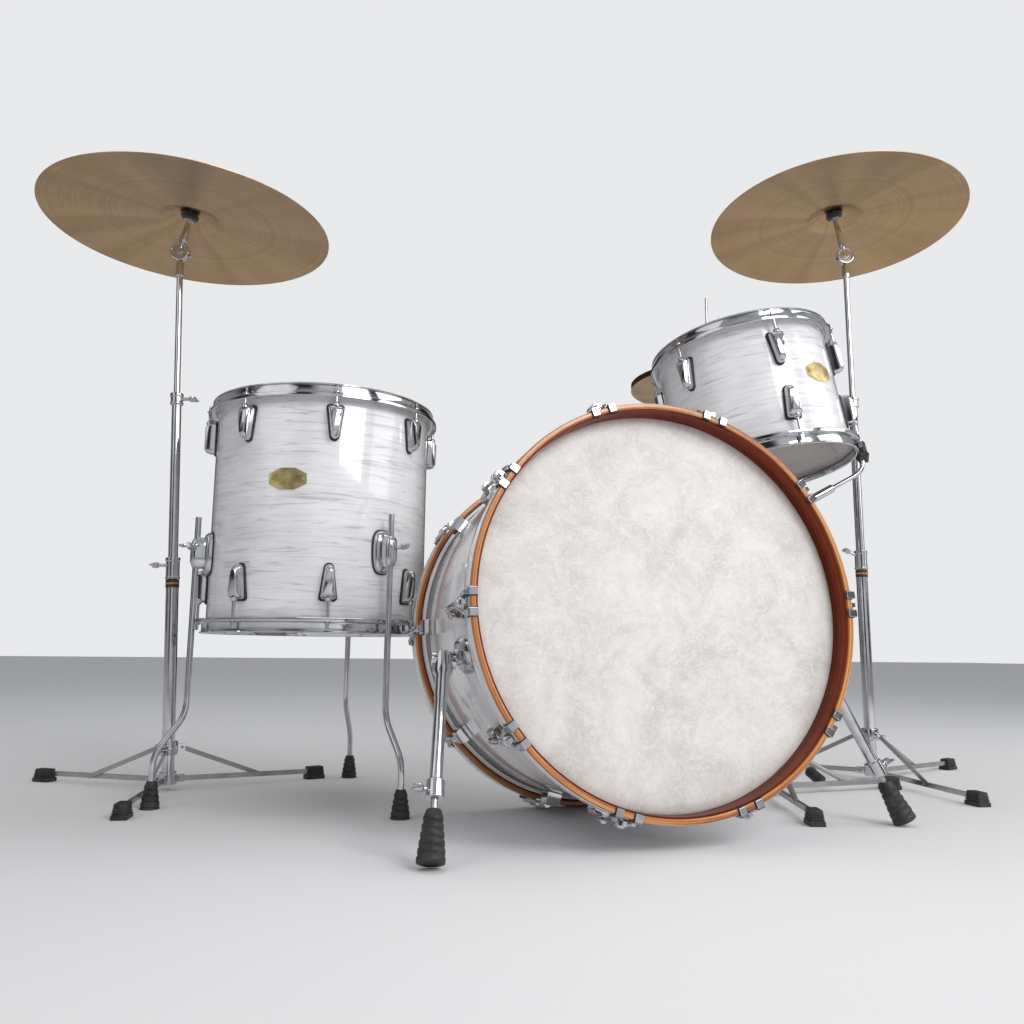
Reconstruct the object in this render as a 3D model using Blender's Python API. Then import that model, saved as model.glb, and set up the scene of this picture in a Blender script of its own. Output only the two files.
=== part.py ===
"""An acoustic drum kit: bass drum, floor tom, rack tom in a basket stand, two cymbals and a hi-hat.

Metres, +Z up, the floor at z = 0. The kit faces -Y, and +X is to the right for someone looking at its front.
Each sub-part is one object, and a moving one has its origin on its joint's axis.
"""

import math

import bmesh
import bpy
from mathutils import Matrix, Vector

GAP = 0.0003                     # between pieces that touch
DRUM_SIDES = 32
CYMBAL_SIDES = 40
TUBE_SIDES = 14
ROD_SIDES = 10

# The whole kit moves by this much, so that its box is centred on the origin.
KIT_SHIFT = Vector((-0.0279, -0.0106, 0.0))
FACING = Vector((0.2917, 0.9565, 0.0))       # horizontal axis that the cymbal tilters turn about

# Bass drum: about 24 by 15 inches, raised at the front by its spurs and turned a little to the right.
BASS_FRONT = Vector((0.0109, -0.4960, 0.3503))  # centre of the front hoop's front face
BASS_RISE = math.radians(5.2)
BASS_TURN = math.radians(0.31)
BASS_RADIUS = 0.2955
BASS_DEPTH = 0.4215
BASS_HOOP_RADIUS = 0.3127
BASS_HOOP_WIDTH = 0.038
BASS_HEAD_RECESS = 0.033
SHELL_WALL = 0.007
HEAD_FILM = 0.001

# Spurs: pivot on a bracket below the widest line of the shell, foot on the floor.
SPUR_BACK = 0.115                # pivot behind the front hoop's face
SPUR_DROP = math.radians(13.5)   # pivot below the horizontal, round the shell
SPUR_STAND_OFF = 0.038           # pivot outside the shell
SPUR_FEET = {"left": Vector((-0.356, -0.527, 0.0)), "right": Vector((0.464, -0.425, 0.0))}
SPUR_TUBE_RADIUS = 0.0088
SPUR_BORE = 0.0056
SPUR_ROD_RADIUS = 0.0048
SPUR_TUBE_LENGTH = 0.205
SPUR_FOOT_RADIUS = 0.019

# Floor tom: 16 inches across and a little over 16 deep, on three sliding legs.
FLOOR_TOM_TOP = Vector((-0.460, 0.088, 0.748))
FLOOR_TOM_RADIUS = 0.2050
FLOOR_TOM_DEPTH = 0.443
LEG_ANGLES = (191.0, 297.5, 68.0)
LEG_CIRCLE = 0.2310
LEG_RADIUS = 0.0055
LEG_TOP = 0.518
LEG_BEND_TOP = 0.160
LEG_BEND_FOOT = 0.092
LEG_SPREAD = 0.050
LEG_FOOT_HEIGHT = 0.047
BRACKET_LOW = 0.412
BRACKET_HIGH = 0.490

# Rack tom: about 13 inches across and 10 deep, leaning towards the player in a basket stand.
RACK_TOM_TOP = Vector((0.3535, -0.1336, 0.9015))
RACK_TOM_AXIS = Vector((-0.1239, 0.1354, 0.983)).normalized()
RACK_TOM_RADIUS = 0.1677
RACK_TOM_DEPTH = 0.2726
TOM_STAND_FOOT = Vector((0.420, -0.100, 0.0))
TOM_STAND_LEGS = ((-110.0, 0.289), (3.0, 0.286), (126.5, 0.290))
TOM_STAND_TUBE_TOP = 0.430
TOM_POST_TOP = 0.531
TOM_PIVOT = Vector((0.420, -0.100, 0.545))
BASKET_ANGLES = (-20.0, 100.0, 220.0)
BASKET_REACH = 0.1985
HUB_DROP = 0.0895

# Pressed-steel tom hoop, measured outwards from the shell and down from its rim.
HOOP_HEIGHT = 0.0260
HOOP_WALL_INNER = 0.0046
HOOP_WALL_OUTER = 0.0070
HOOP_LIP = 0.0108
HOOP_FLANGE = 0.0180
HOOP_FLANGE_DROP = 0.0180
HOOP_METAL = 0.0023
TOM_HEAD_RECESS = 0.0120
HEAD_SKIRT = 0.0060

# Straight cymbal stands with flat folding bases.
TUBE_RADII = {"lower": 0.0124, "middle": 0.0095, "upper": 0.0064}
BORE_RADII = {"lower": 0.0100, "middle": 0.0069}
HUB_RADIUS = 0.0165
LEG_PIVOT_RADIUS = 0.0265
LEG_PIVOT_HEIGHT = 0.0200
LEG_HALF_HEIGHT = 0.0050
LUG_PLANE = (-0.0014, 0.0014)
LEG_PLANE = (-0.0054, -0.0018)
STRUT_PLANE = (0.0018, 0.0048)
STRUT_PIN = 0.160                # along the leg, from its pivot to the strut's pin
FOOT_SIZE = (0.040, 0.026, 0.028)
FOOT_AXIS_HEIGHT = 0.0165
STANDS = {
    "left": {
        "foot": Vector((-0.722, 0.254, 0.0)),
        "lean": Vector((-0.0436, 0.0133, 1.0)),
        "legs": ((-99.0, 0.300), (18.0, 0.300), (145.0, 0.300)),
        "collar": 0.080,
        "tops": (0.462, 0.812, 1.108),
        "cymbal": Vector((-0.756, 0.262, 1.184)),
        "normal": Vector((0.034, -0.010, 1.0)),
    },
    "right": {
        "foot": Vector((0.7726, 0.0424, 0.0)),
        "lean": Vector((0.0, 0.0, 1.0)),
        "legs": ((-96.0, 0.328), (20.0, 0.328), (128.0, 0.320)),
        "collar": 0.100,
        "tops": (0.517, 0.886, 1.222),
        "cymbal": Vector((0.754, 0.052, 1.327)),
        "normal": Vector((0.004, 0.069, 1.0)),
    },
}
TILTER_RISE = 0.024              # ratchet centre above the upper tube's top
RATCHET_RADIUS = 0.0205
RATCHET_THICKNESS = 0.0075

# Cymbals: a bell on a shallow bow, (radius, height above the rim's plane) along the underside.
CYMBAL_RADIUS = 0.300
CYMBAL_BELL_RADIUS = 0.066
CYMBAL_BELL_HEIGHT = 0.017
CYMBAL_BOW_HEIGHT = 0.019
CYMBAL_METAL = 0.0013
CYMBAL_HOLE = 0.0066

# Hi-hat.
HAT_FOOT = Vector((0.478, 0.205, 0.0))
HAT_RADIUS = 0.1905
HAT_BELL_RADIUS = 0.050
HAT_BELL_HEIGHT = 0.015
HAT_BOW_HEIGHT = 0.014
HAT_LOWER_RIM = 0.926
HAT_OPENING = 0.012
HAT_ROD_TOP = 1.164
HAT_ROD_BOTTOM = 0.082
HAT_LEGS = ((-65.0, 0.260), (55.0, 0.260), (175.0, 0.260))
HAT_LEG_TOP = 0.270
PEDAL_DIRECTION = 115.0
PEDAL_LENGTH = 0.225
PEDAL_HEEL = 0.285               # heel hinge from the stand's axis
PEDAL_SLOPE = math.radians(13.0)

FINISHES = {                     # base colour, metallic, roughness
    "pearl": ((0.86, 0.84, 0.88), 0.0, 0.22),
    "maple": ((0.68, 0.38, 0.18), 0.0, 0.35),
    "head": ((0.84, 0.83, 0.80), 0.0, 0.55),
    "clear_head": ((0.55, 0.52, 0.52), 0.0, 0.25),
    "chrome": ((0.80, 0.80, 0.82), 1.0, 0.10),
    "steel": ((0.62, 0.62, 0.62), 1.0, 0.32),
    "bronze": ((0.66, 0.50, 0.30), 1.0, 0.30),
}


def clear_scene():
    for thing in list(bpy.data.objects):
        bpy.data.objects.remove(thing)


def material(name, finish):
    """The sub-part's own Principled material."""
    colour, metallic, roughness = FINISHES[finish]
    made = bpy.data.materials.new(name + "_" + finish)
    made.use_nodes = True
    shader = made.node_tree.nodes["Principled BSDF"]
    shader.inputs["Base Color"].default_value = (*colour, 1.0)
    shader.inputs["Metallic"].default_value = metallic
    shader.inputs["Roughness"].default_value = roughness
    return made


def empty(name, frame, parent=None):
    made = bpy.data.objects.new(name, None)
    bpy.context.collection.objects.link(made)
    made.parent = parent
    made.matrix_basis = frame
    return made


def axes(origin, z_axis, x_hint):
    """A frame at origin with the given Z axis, and X as near to x_hint as it can be."""
    z_axis = Vector(z_axis).normalized()
    y_axis = z_axis.cross(Vector(x_hint)).normalized()
    x_axis = y_axis.cross(z_axis)
    turn = Matrix((x_axis, y_axis, z_axis)).transposed()
    return Matrix.Translation(origin) @ turn.to_4x4()


def around(degrees, radius=1.0, height=0.0):
    angle = math.radians(degrees)
    return Vector((radius * math.cos(angle), radius * math.sin(angle), height))


def finish_mesh(work, frame=None):
    """The bmesh as a mesh datablock, moved by frame, with its faces pointing out."""
    if frame is not None:
        bmesh.ops.transform(work, matrix=frame, verts=work.verts)
    bmesh.ops.recalc_face_normals(work, faces=work.faces)
    made = bpy.data.meshes.new("shape")
    work.to_mesh(made)
    work.free()
    return made


def turned(profile, sides, frame=None):
    """A solid of revolution about Z from a closed outline of (radius, height) points."""
    work = bmesh.new()
    ring = [work.verts.new((radius, 0.0, height)) for radius, height in profile]
    edges = []
    for here, there in zip(ring, ring[1:] + ring[:1]):
        if here.co.x > 0.0 or there.co.x > 0.0:
            edges.append(work.edges.new((here, there)))
    bmesh.ops.spin(work, geom=ring + edges, cent=(0, 0, 0), axis=(0, 0, 1), angle=math.tau, steps=sides)
    bmesh.ops.remove_doubles(work, verts=work.verts, dist=0.00001)
    return finish_mesh(work, frame)


def swept(stations, sides=ROD_SIDES, frame=None):
    """A round bar through (point, radius) stations, with flat ends."""
    points = [Vector(point) for point, _ in stations]
    work = bmesh.new()
    rings = []
    side = None
    for index, (_, radius) in enumerate(stations):
        back = points[index] - points[max(index - 1, 0)]
        ahead = points[min(index + 1, len(points) - 1)] - points[index]
        along = (back.normalized() + ahead.normalized()).normalized()
        if side is None:
            side = along.orthogonal()
        side = (side - along * side.dot(along)).normalized()
        across = along.cross(side)
        ring = []
        for step in range(sides):
            angle = math.tau * step / sides
            offset = side * math.cos(angle) + across * math.sin(angle)
            ring.append(work.verts.new(points[index] + offset * radius))
        rings.append(ring)
    for lower, upper in zip(rings, rings[1:]):
        for step in range(sides):
            after = (step + 1) % sides
            work.faces.new((lower[step], lower[after], upper[after], upper[step]))
    work.faces.new(list(reversed(rings[0])))
    work.faces.new(rings[-1])
    return finish_mesh(work, frame)


def block(low, high, frame=None, top_scale=1.0):
    """A box between two corners. top_scale narrows its upper face."""
    low = Vector(low)
    high = Vector(high)
    middle = (low + high) / 2
    work = bmesh.new()
    bmesh.ops.create_cube(work, size=1.0)
    for vert in work.verts:
        spread = top_scale if vert.co.z > 0 else 1.0
        vert.co.x = middle.x + vert.co.x * (high.x - low.x) * spread
        vert.co.y = middle.y + vert.co.y * (high.y - low.y) * spread
        vert.co.z = middle.z + vert.co.z * (high.z - low.z)
    return finish_mesh(work, frame)


def combined(meshes, operation):
    """The first mesh united with the rest, or cut by them."""
    body = bpy.data.objects.new("body", meshes[0])
    bpy.context.collection.objects.link(body)
    tools = []
    for mesh in meshes[1:]:
        tool = bpy.data.objects.new("tool", mesh)
        bpy.context.collection.objects.link(tool)
        tools.append(tool)
        step = body.modifiers.new(operation, "BOOLEAN")
        step.operation = operation
        step.solver = "EXACT"
        step.object = tool
    bpy.context.view_layer.update()
    graph = bpy.context.evaluated_depsgraph_get()
    made = bpy.data.meshes.new_from_object(body.evaluated_get(graph))
    for helper in [body, *tools]:
        bpy.data.objects.remove(helper)
    return made


def node(name, finish, meshes, parent, frame=None, cuts=()):
    """One sub-part, from meshes in its own frame."""
    shape = combined(meshes, "UNION") if len(meshes) > 1 else meshes[0]
    if cuts:
        shape = combined([shape, *cuts], "DIFFERENCE")
    shape.name = name
    shape.shade_smooth()
    shape.set_sharp_from_angle(angle=math.radians(35))
    shape.materials.clear()
    shape.materials.append(material(name, finish))
    made = bpy.data.objects.new(name, shape)
    bpy.context.collection.objects.link(made)
    made.parent = parent
    made.matrix_basis = frame if frame is not None else Matrix.Identity(4)
    return made


def mirrored(profile, depth):
    """The same outline on the drum's other end, for a drum that reaches down by depth."""
    return [(radius, -depth - height) for radius, height in profile]


def bass_frame():
    level = Vector((math.sin(BASS_TURN), -math.cos(BASS_TURN), 0.0))
    front = level * math.cos(BASS_RISE) + Vector((0.0, 0.0, math.sin(BASS_RISE)))
    return axes(BASS_FRONT, front, (math.cos(BASS_TURN), math.sin(BASS_TURN), 0.0))


def ring_outline(inner, outer, high, low):
    return [(outer, high), (outer, low), (inner, low), (inner, high)]


def head_outline(inside, outside, top, skirt):
    """A film with a turned-down skirt round its edge."""
    return [
        (0.0, top),
        (outside, top),
        (outside, top - skirt),
        (inside, top - skirt),
        (inside, top - HEAD_FILM),
        (0.0, top - HEAD_FILM),
    ]


def bass_drum(kit):
    frame = bass_frame()
    edge = BASS_HEAD_RECESS + HEAD_FILM + GAP
    shell = ring_outline(BASS_RADIUS - SHELL_WALL, BASS_RADIUS, -edge, edge - BASS_DEPTH)
    node("bass_drum_shell", "pearl", [turned(shell, DRUM_SIDES)], kit, frame)
    head = head_outline(BASS_RADIUS + 0.0008, BASS_RADIUS + 0.0054, -BASS_HEAD_RECESS, 0.015)
    hoop = ring_outline(BASS_RADIUS + 0.0060, BASS_HOOP_RADIUS, 0.0, -BASS_HOOP_WIDTH)
    ends = {"front": (head, hoop), "rear": (mirrored(head, BASS_DEPTH), mirrored(hoop, BASS_DEPTH))}
    for end, outlines in ends.items():
        node(f"bass_drum_{end}_head", "head", [turned(outlines[0], DRUM_SIDES)], kit, frame)
        node(f"bass_drum_{end}_hoop", "maple", [turned(outlines[1], DRUM_SIDES)], kit, frame)
    for side in SPUR_FEET:
        spur(side, frame, kit)


def spur(side, drum_frame, kit):
    """A folding spur: a bracket on the shell, a tube that swings on it, and a rod with a foot."""
    angle = -math.degrees(SPUR_DROP) if side == "right" else 180 + math.degrees(SPUR_DROP)
    outward = around(angle)
    pivot = drum_frame @ (outward * (BASS_RADIUS + SPUR_STAND_OFF) - Vector((0, 0, SPUR_BACK)))
    down = (SPUR_FEET[side] - pivot).normalized()
    hinge = (Vector((1, 0, 0)) - down * down.x).normalized()
    bracket_frame = drum_frame @ axes(-Vector((0, 0, SPUR_BACK)), outward, (0, 0, 1))
    inner = BASS_RADIUS + GAP * 2
    plate = block((-0.022, -0.026, inner), (0.022, 0.026, BASS_RADIUS + 0.012))
    boss_top = BASS_RADIUS + 0.0215
    boss = turned([(0, inner + 0.002), (0.014, inner + 0.002), (0.010, boss_top), (0, boss_top)], TUBE_SIDES)
    node(f"{side}_spur_bracket", "chrome", [plate, boss], kit, bracket_frame)

    frame = axes(pivot, down, hinge)
    tube = [
        (0.0, -0.009),
        (0.0120, -0.009),
        (0.0120, 0.016),
        (SPUR_TUBE_RADIUS, 0.020),
        (SPUR_TUBE_RADIUS, SPUR_TUBE_LENGTH - 0.024),
        (0.0125, SPUR_TUBE_LENGTH - 0.022),
        (0.0125, SPUR_TUBE_LENGTH),
        (SPUR_BORE, SPUR_TUBE_LENGTH),
        (SPUR_BORE, 0.050),
        (0.0, 0.050),
    ]
    node(f"{side}_spur_tube", "chrome", [turned(tube, TUBE_SIDES)], kit, frame)

    lean = math.sqrt(1 - down.z ** 2)
    end = (pivot.z - SPUR_FOOT_RADIUS * lean) / -down.z
    rod = [
        (0.0, 0.135),
        (SPUR_ROD_RADIUS, 0.135),
        (SPUR_ROD_RADIUS, end - 0.066),
        (0.0120, end - 0.065),
        (0.0125, end - 0.056),
        (SPUR_FOOT_RADIUS, end - 0.006),
        (SPUR_FOOT_RADIUS, end),
        (0.0, end),
    ]
    node(f"{side}_spur_rod", "steel", [turned(rod, TUBE_SIDES)], kit, frame)


def tom_hoop_outline(radius):
    """A flanged hoop: a rolled lip, an upright wall, and a flange that the tension rods pull on."""
    wall_inner = radius + HOOP_WALL_INNER
    wall_outer = radius + HOOP_WALL_OUTER
    flange = radius + HOOP_FLANGE
    return [
        (wall_inner, 0.0),
        (radius + HOOP_LIP, 0.0),
        (radius + HOOP_LIP, -HOOP_METAL),
        (wall_outer, -HOOP_METAL * 1.3),
        (wall_outer, -HOOP_FLANGE_DROP),
        (flange, -HOOP_FLANGE_DROP),
        (flange, -HOOP_HEIGHT),
        (wall_inner, -HOOP_FLANGE_DROP - HOOP_METAL),
    ]


def tom(prefix, radius, depth, frame, lower_head, kit):
    """A tom's shell, two heads and two hoops. The frame's origin is the centre of the upper rim."""
    edge = TOM_HEAD_RECESS + HEAD_FILM + GAP
    shell = ring_outline(radius - SHELL_WALL, radius, -edge, edge - depth)
    head = head_outline(radius + 0.0008, radius + HOOP_WALL_INNER - GAP, -TOM_HEAD_RECESS, HEAD_SKIRT)
    hoop = tom_hoop_outline(radius)
    node(f"{prefix}_shell", "pearl", [turned(shell, DRUM_SIDES)], kit, frame)
    node(f"{prefix}_batter_head", "head", [turned(head, DRUM_SIDES)], kit, frame)
    node(f"{prefix}_resonant_head", lower_head, [turned(mirrored(head, depth), DRUM_SIDES)], kit, frame)
    node(f"{prefix}_top_hoop", "chrome", [turned(hoop, DRUM_SIDES)], kit, frame)
    node(f"{prefix}_bottom_hoop", "chrome", [turned(mirrored(hoop, depth), DRUM_SIDES)], kit, frame)


def floor_tom(kit):
    frame = Matrix.Translation(FLOOR_TOM_TOP)
    tom("floor_tom", FLOOR_TOM_RADIUS, FLOOR_TOM_DEPTH, frame, "clear_head", kit)
    for number, angle in enumerate(LEG_ANGLES, start=1):
        floor_tom_leg(number, angle, kit)


def floor_tom_leg(number, angle, kit):
    """A bent leg, and the clamp on the shell that it slides in."""
    foot = Vector((FLOOR_TOM_TOP.x, FLOOR_TOM_TOP.y, 0.0))
    frame = axes(foot + around(angle, LEG_CIRCLE), (0, 0, 1), around(angle))
    inner = FLOOR_TOM_RADIUS + GAP * 2 - LEG_CIRCLE
    plate = block((inner, -0.018, BRACKET_LOW), (inner + 0.008, 0.018, BRACKET_HIGH))
    clamp = block((inner + 0.004, -0.011, BRACKET_LOW + 0.012), (0.011, 0.011, BRACKET_HIGH - 0.012))
    hole = swept([((0, 0, BRACKET_LOW), LEG_RADIUS + 0.0006), ((0, 0, BRACKET_HIGH), LEG_RADIUS + 0.0006)])
    node(f"floor_tom_bracket_{number}", "chrome", [plate, clamp], kit, frame, cuts=[hole])
    turn = 0.012
    leg = [
        ((LEG_SPREAD, 0, 0), 0.0170),
        ((LEG_SPREAD, 0, LEG_FOOT_HEIGHT - 0.0005), 0.0100),
        ((LEG_SPREAD, 0, LEG_FOOT_HEIGHT), LEG_RADIUS),
        ((LEG_SPREAD, 0, LEG_BEND_FOOT - turn / 2), LEG_RADIUS),
        ((LEG_SPREAD - turn / 2, 0, LEG_BEND_FOOT + turn), LEG_RADIUS),
        ((turn / 2, 0, LEG_BEND_TOP - turn), LEG_RADIUS),
        ((0, 0, LEG_BEND_TOP + turn / 2), LEG_RADIUS),
        ((0, 0, LEG_TOP), LEG_RADIUS),
    ]
    node(f"floor_tom_leg_{number}", "chrome", [swept(leg)], kit, frame)


def telescopic_outline(name, bottom, top, collar_height, collar_extra):
    """A tube, open at both ends, with a clamp collar at its top."""
    outer = TUBE_RADII[name]
    bore = BORE_RADII[name]
    collar = outer + collar_extra
    return [
        (bore, top),
        (collar, top),
        (collar, top - collar_height),
        (outer, top - collar_height - 0.0015),
        (outer, bottom),
        (bore, bottom),
    ]


def lug_plates(angles, height, reach_from):
    """Upright plates that stand out from a hub or collar, one for each leg."""
    plates = []
    for angle in angles:
        frame = axes((0, 0, height), (0, 0, 1), around(angle))
        low = (reach_from, LUG_PLANE[0], -0.0075)
        high = (LEG_PIVOT_RADIUS + 0.006, LUG_PLANE[1], 0.0075)
        plates.append(block(low, high, frame))
    return plates


def foot_mesh(end, outward, into):
    """A level rubber foot under the end of a leg, in the frame whose inverse is given."""
    length, width, height = FOOT_SIZE
    level = axes(Vector((end.x, end.y, 0.0)), (0, 0, 1), outward)
    low = (-length * 0.3, -width / 2, 0.0)
    high = (length * 0.7, width / 2, height)
    return block(low, high, into @ level, top_scale=0.86)


def folding_leg(name, base_frame, angle, reach, kit):
    """A flat leg with its foot. Local X runs out along the leg, and its hinge is local Y."""
    pivot = base_frame @ around(angle, LEG_PIVOT_RADIUS, LEG_PIVOT_HEIGHT)
    outward = base_frame.to_3x3() @ around(angle)
    level_reach = Vector((outward.x, outward.y, 0.0)).normalized() * (reach - LEG_PIVOT_RADIUS)
    end = Vector((pivot.x, pivot.y, FOOT_AXIS_HEIGHT)) + level_reach
    along = (end - pivot).normalized()
    sideways = (base_frame.to_3x3() @ Vector((0, 0, 1))).cross(along).normalized()
    frame = axes(pivot, along.cross(sideways), along)
    length = (end - pivot).length
    bar = block((-0.007, LEG_PLANE[0], -LEG_HALF_HEIGHT), (length, LEG_PLANE[1], LEG_HALF_HEIGHT))
    foot = foot_mesh(end, along, frame.inverted())
    node(name, "steel", [bar, foot], kit, frame)
    return frame


def strut(name, base_frame, angle, collar, leg_frame, kit):
    """A flat strut from the collar to the leg's pin. Its hinge at the collar is local Y."""
    pivot = base_frame @ around(angle, LEG_PIVOT_RADIUS, collar)
    pin = leg_frame @ Vector((STRUT_PIN, 0, 0))
    along = (pin - pivot).normalized()
    sideways = leg_frame.to_3x3() @ Vector((0, 1, 0))
    frame = axes(pivot, along.cross(sideways), along)
    length = (pin - pivot).length
    bar = block((-0.005, STRUT_PLANE[0], -0.0045), (length + 0.005, STRUT_PLANE[1], 0.0045))
    node(name, "steel", [bar], kit, frame)


def cymbal_outline(radius, bell_radius, bell, bow, up=1.0):
    """The section of a cymbal with its hole: out along the underside, and back along the top."""
    under = [(CYMBAL_HOLE, bow + bell)]
    for part in (0.5, 0.82):
        under.append((bell_radius * part, bow + bell * math.sqrt(1 - part ** 2)))
    under.append((bell_radius, bow * 0.93))
    for part in (0.62, 1.0):
        out = bell_radius + (radius - bell_radius) * part
        under.append((out, bow * (1 - part ** 1.8)))
    top = [(across, height + CYMBAL_METAL) for across, height in reversed(under)]
    return [(across, height * up) for across, height in under + top]


def cymbal_stand(side, kit):
    numbers = STANDS[side]
    base_frame = axes(numbers["foot"], numbers["lean"], (1, 0, 0))
    base = empty(f"{side}_stand_axis", base_frame, kit)
    lower_top, middle_top, upper_top = numbers["tops"]
    angles = [angle for angle, _ in numbers["legs"]]

    lower = telescopic_outline("lower", 0.030, lower_top, 0.044, 0.0022)
    solid_foot = [(0.0, 0.030), (BORE_RADII["lower"], 0.030)]
    hub = [(HUB_RADIUS, 0.034), (HUB_RADIUS, 0.010), (0.0, 0.010)]
    outline = solid_foot + lower[:4] + [(TUBE_RADII["lower"], 0.034)] + hub
    plates = lug_plates(angles, LEG_PIVOT_HEIGHT, HUB_RADIUS - 0.004)
    node(f"{side}_stand_lower_tube", "chrome", [turned(outline, TUBE_SIDES), *plates], base)

    insert = 0.105
    middle = telescopic_outline("middle", lower_top - insert, middle_top, 0.024, 0.004)
    node(f"{side}_stand_middle_tube", "chrome", [turned(middle, TUBE_SIDES)], base)

    ratchet = upper_top + TILTER_RISE
    sideways = base_frame.to_3x3().inverted() @ FACING
    disc_frame = axes((0, 0, ratchet), sideways, (0, 0, 1))
    half = RATCHET_THICKNESS
    outline = [(0, GAP), (RATCHET_RADIUS, GAP), (RATCHET_RADIUS, half), (0, half)]
    near = turned(outline, TUBE_SIDES, disc_frame)
    neck = disc_frame @ Vector((0, 0, half / 2 + GAP))
    rod = [
        ((0, 0, middle_top - insert), TUBE_RADII["upper"]),
        ((0, 0, upper_top - 0.004), TUBE_RADII["upper"]),
        ((neck.x, neck.y, ratchet - RATCHET_RADIUS - 0.003), 0.0034),
        ((neck.x, neck.y, ratchet - 0.006), 0.0034),
    ]
    node(f"{side}_stand_upper_tube", "chrome", [swept(rod, TUBE_SIDES), near], base)

    collar_bore = TUBE_RADII["lower"] + 0.0005
    collar_ring = turned(ring_outline(collar_bore, 0.0180, 0.013, -0.013), TUBE_SIDES)
    collar_plates = lug_plates(angles, 0.0, 0.0155)
    collar_frame = Matrix.Translation((0, 0, numbers["collar"]))
    node(f"{side}_stand_collar", "steel", [collar_ring, *collar_plates], base, collar_frame)

    for number, (angle, reach) in enumerate(numbers["legs"], start=1):
        leg_frame = folding_leg(f"{side}_stand_leg_{number}", base_frame, angle, reach, kit)
        strut(f"{side}_stand_strut_{number}", base_frame, angle, numbers["collar"], leg_frame, kit)

    cymbal_and_tilter(side, base_frame @ Vector((0, 0, ratchet)), kit)


def cymbal_and_tilter(side, ratchet, kit):
    """The tilter turns on the ratchet, and the cymbal rocks on the tilter's seat."""
    numbers = STANDS[side]
    normal = numbers["normal"].normalized()
    seat = numbers["cymbal"] + normal * (CYMBAL_BOW_HEIGHT + CYMBAL_BELL_HEIGHT)
    up = (seat - ratchet).normalized()
    length = (seat - ratchet).length
    disc_frame = axes((0, 0, 0), -FACING, (0, 0, 1))
    half = RATCHET_THICKNESS
    outline = [(0, GAP), (RATCHET_RADIUS, GAP), (RATCHET_RADIUS, half), (0, half)]
    disc = turned(outline, TUBE_SIDES, disc_frame)
    start = disc_frame @ Vector((0, 0, half / 2 + GAP))
    seat_frame = axes((0, 0, 0), up, FACING)
    mast = [
        (0.0, length - 0.022),
        (0.0060, length - 0.022),
        (0.0115, length - 0.013),
        (0.0115, length - 0.0055),
        (0.0034, length - 0.0055),
        (0.0034, length + 0.030),
        (0.0, length + 0.030),
    ]
    stem = swept(
        [
            (start + up * 0.006, 0.0030),
            (start + up * (RATCHET_RADIUS + 0.003), 0.0030),
            (up * (RATCHET_RADIUS + 0.012), 0.0055),
            (up * (length - 0.016), 0.0055),
        ],
        TUBE_SIDES,
    )
    post = turned(mast, TUBE_SIDES, seat_frame)
    node(f"{side}_stand_tilter", "chrome", [disc, stem, post], kit, Matrix.Translation(ratchet))
    frame = axes(seat, normal, (1, 0, 0))
    outline = cymbal_outline(CYMBAL_RADIUS, CYMBAL_BELL_RADIUS, CYMBAL_BELL_HEIGHT, CYMBAL_BOW_HEIGHT)
    seated = [(across, height - CYMBAL_BOW_HEIGHT - CYMBAL_BELL_HEIGHT) for across, height in outline]
    node(f"{side}_cymbal", "bronze", [turned(seated, CYMBAL_SIDES)], kit, frame)


def rack_tom(kit):
    frame = axes(RACK_TOM_TOP, RACK_TOM_AXIS, (1, 0, 0))
    tom("rack_tom", RACK_TOM_RADIUS, RACK_TOM_DEPTH, frame, "clear_head", kit)
    basket(frame, kit)
    tom_stand(kit)


def basket(tom_frame, kit):
    """Three arms that hold the tom by its lower hoop, on a hub that tilts on the post."""
    frame = Matrix.Translation(TOM_PIVOT)
    into = frame.inverted() @ tom_frame @ Matrix.Translation((0, 0, -RACK_TOM_DEPTH))
    hub_low = -HUB_DROP - 0.012
    hub_high = -HUB_DROP + 0.012
    hub = turned([(0, hub_high), (0.024, hub_high), (0.024, hub_low), (0, hub_low)], TUBE_SIDES, into)
    arms = []
    for angle in BASKET_ANGLES:
        arm = [
            (around(angle, 0.014, -HUB_DROP), 0.0045),
            (around(angle, BASKET_REACH - 0.008, -0.026), 0.0045),
            (around(angle, BASKET_REACH, -0.006), 0.0045),
            (around(angle, BASKET_REACH, 0.034), 0.0045),
        ]
        arms.append(swept(arm, 8, into))
    neck = swept([((0, 0, 0), 0.009), (into @ Vector((0, 0, -HUB_DROP)), 0.009)], TUBE_SIDES)
    node("tom_stand_basket", "chrome", [hub, *arms, neck], kit, frame)


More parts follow.
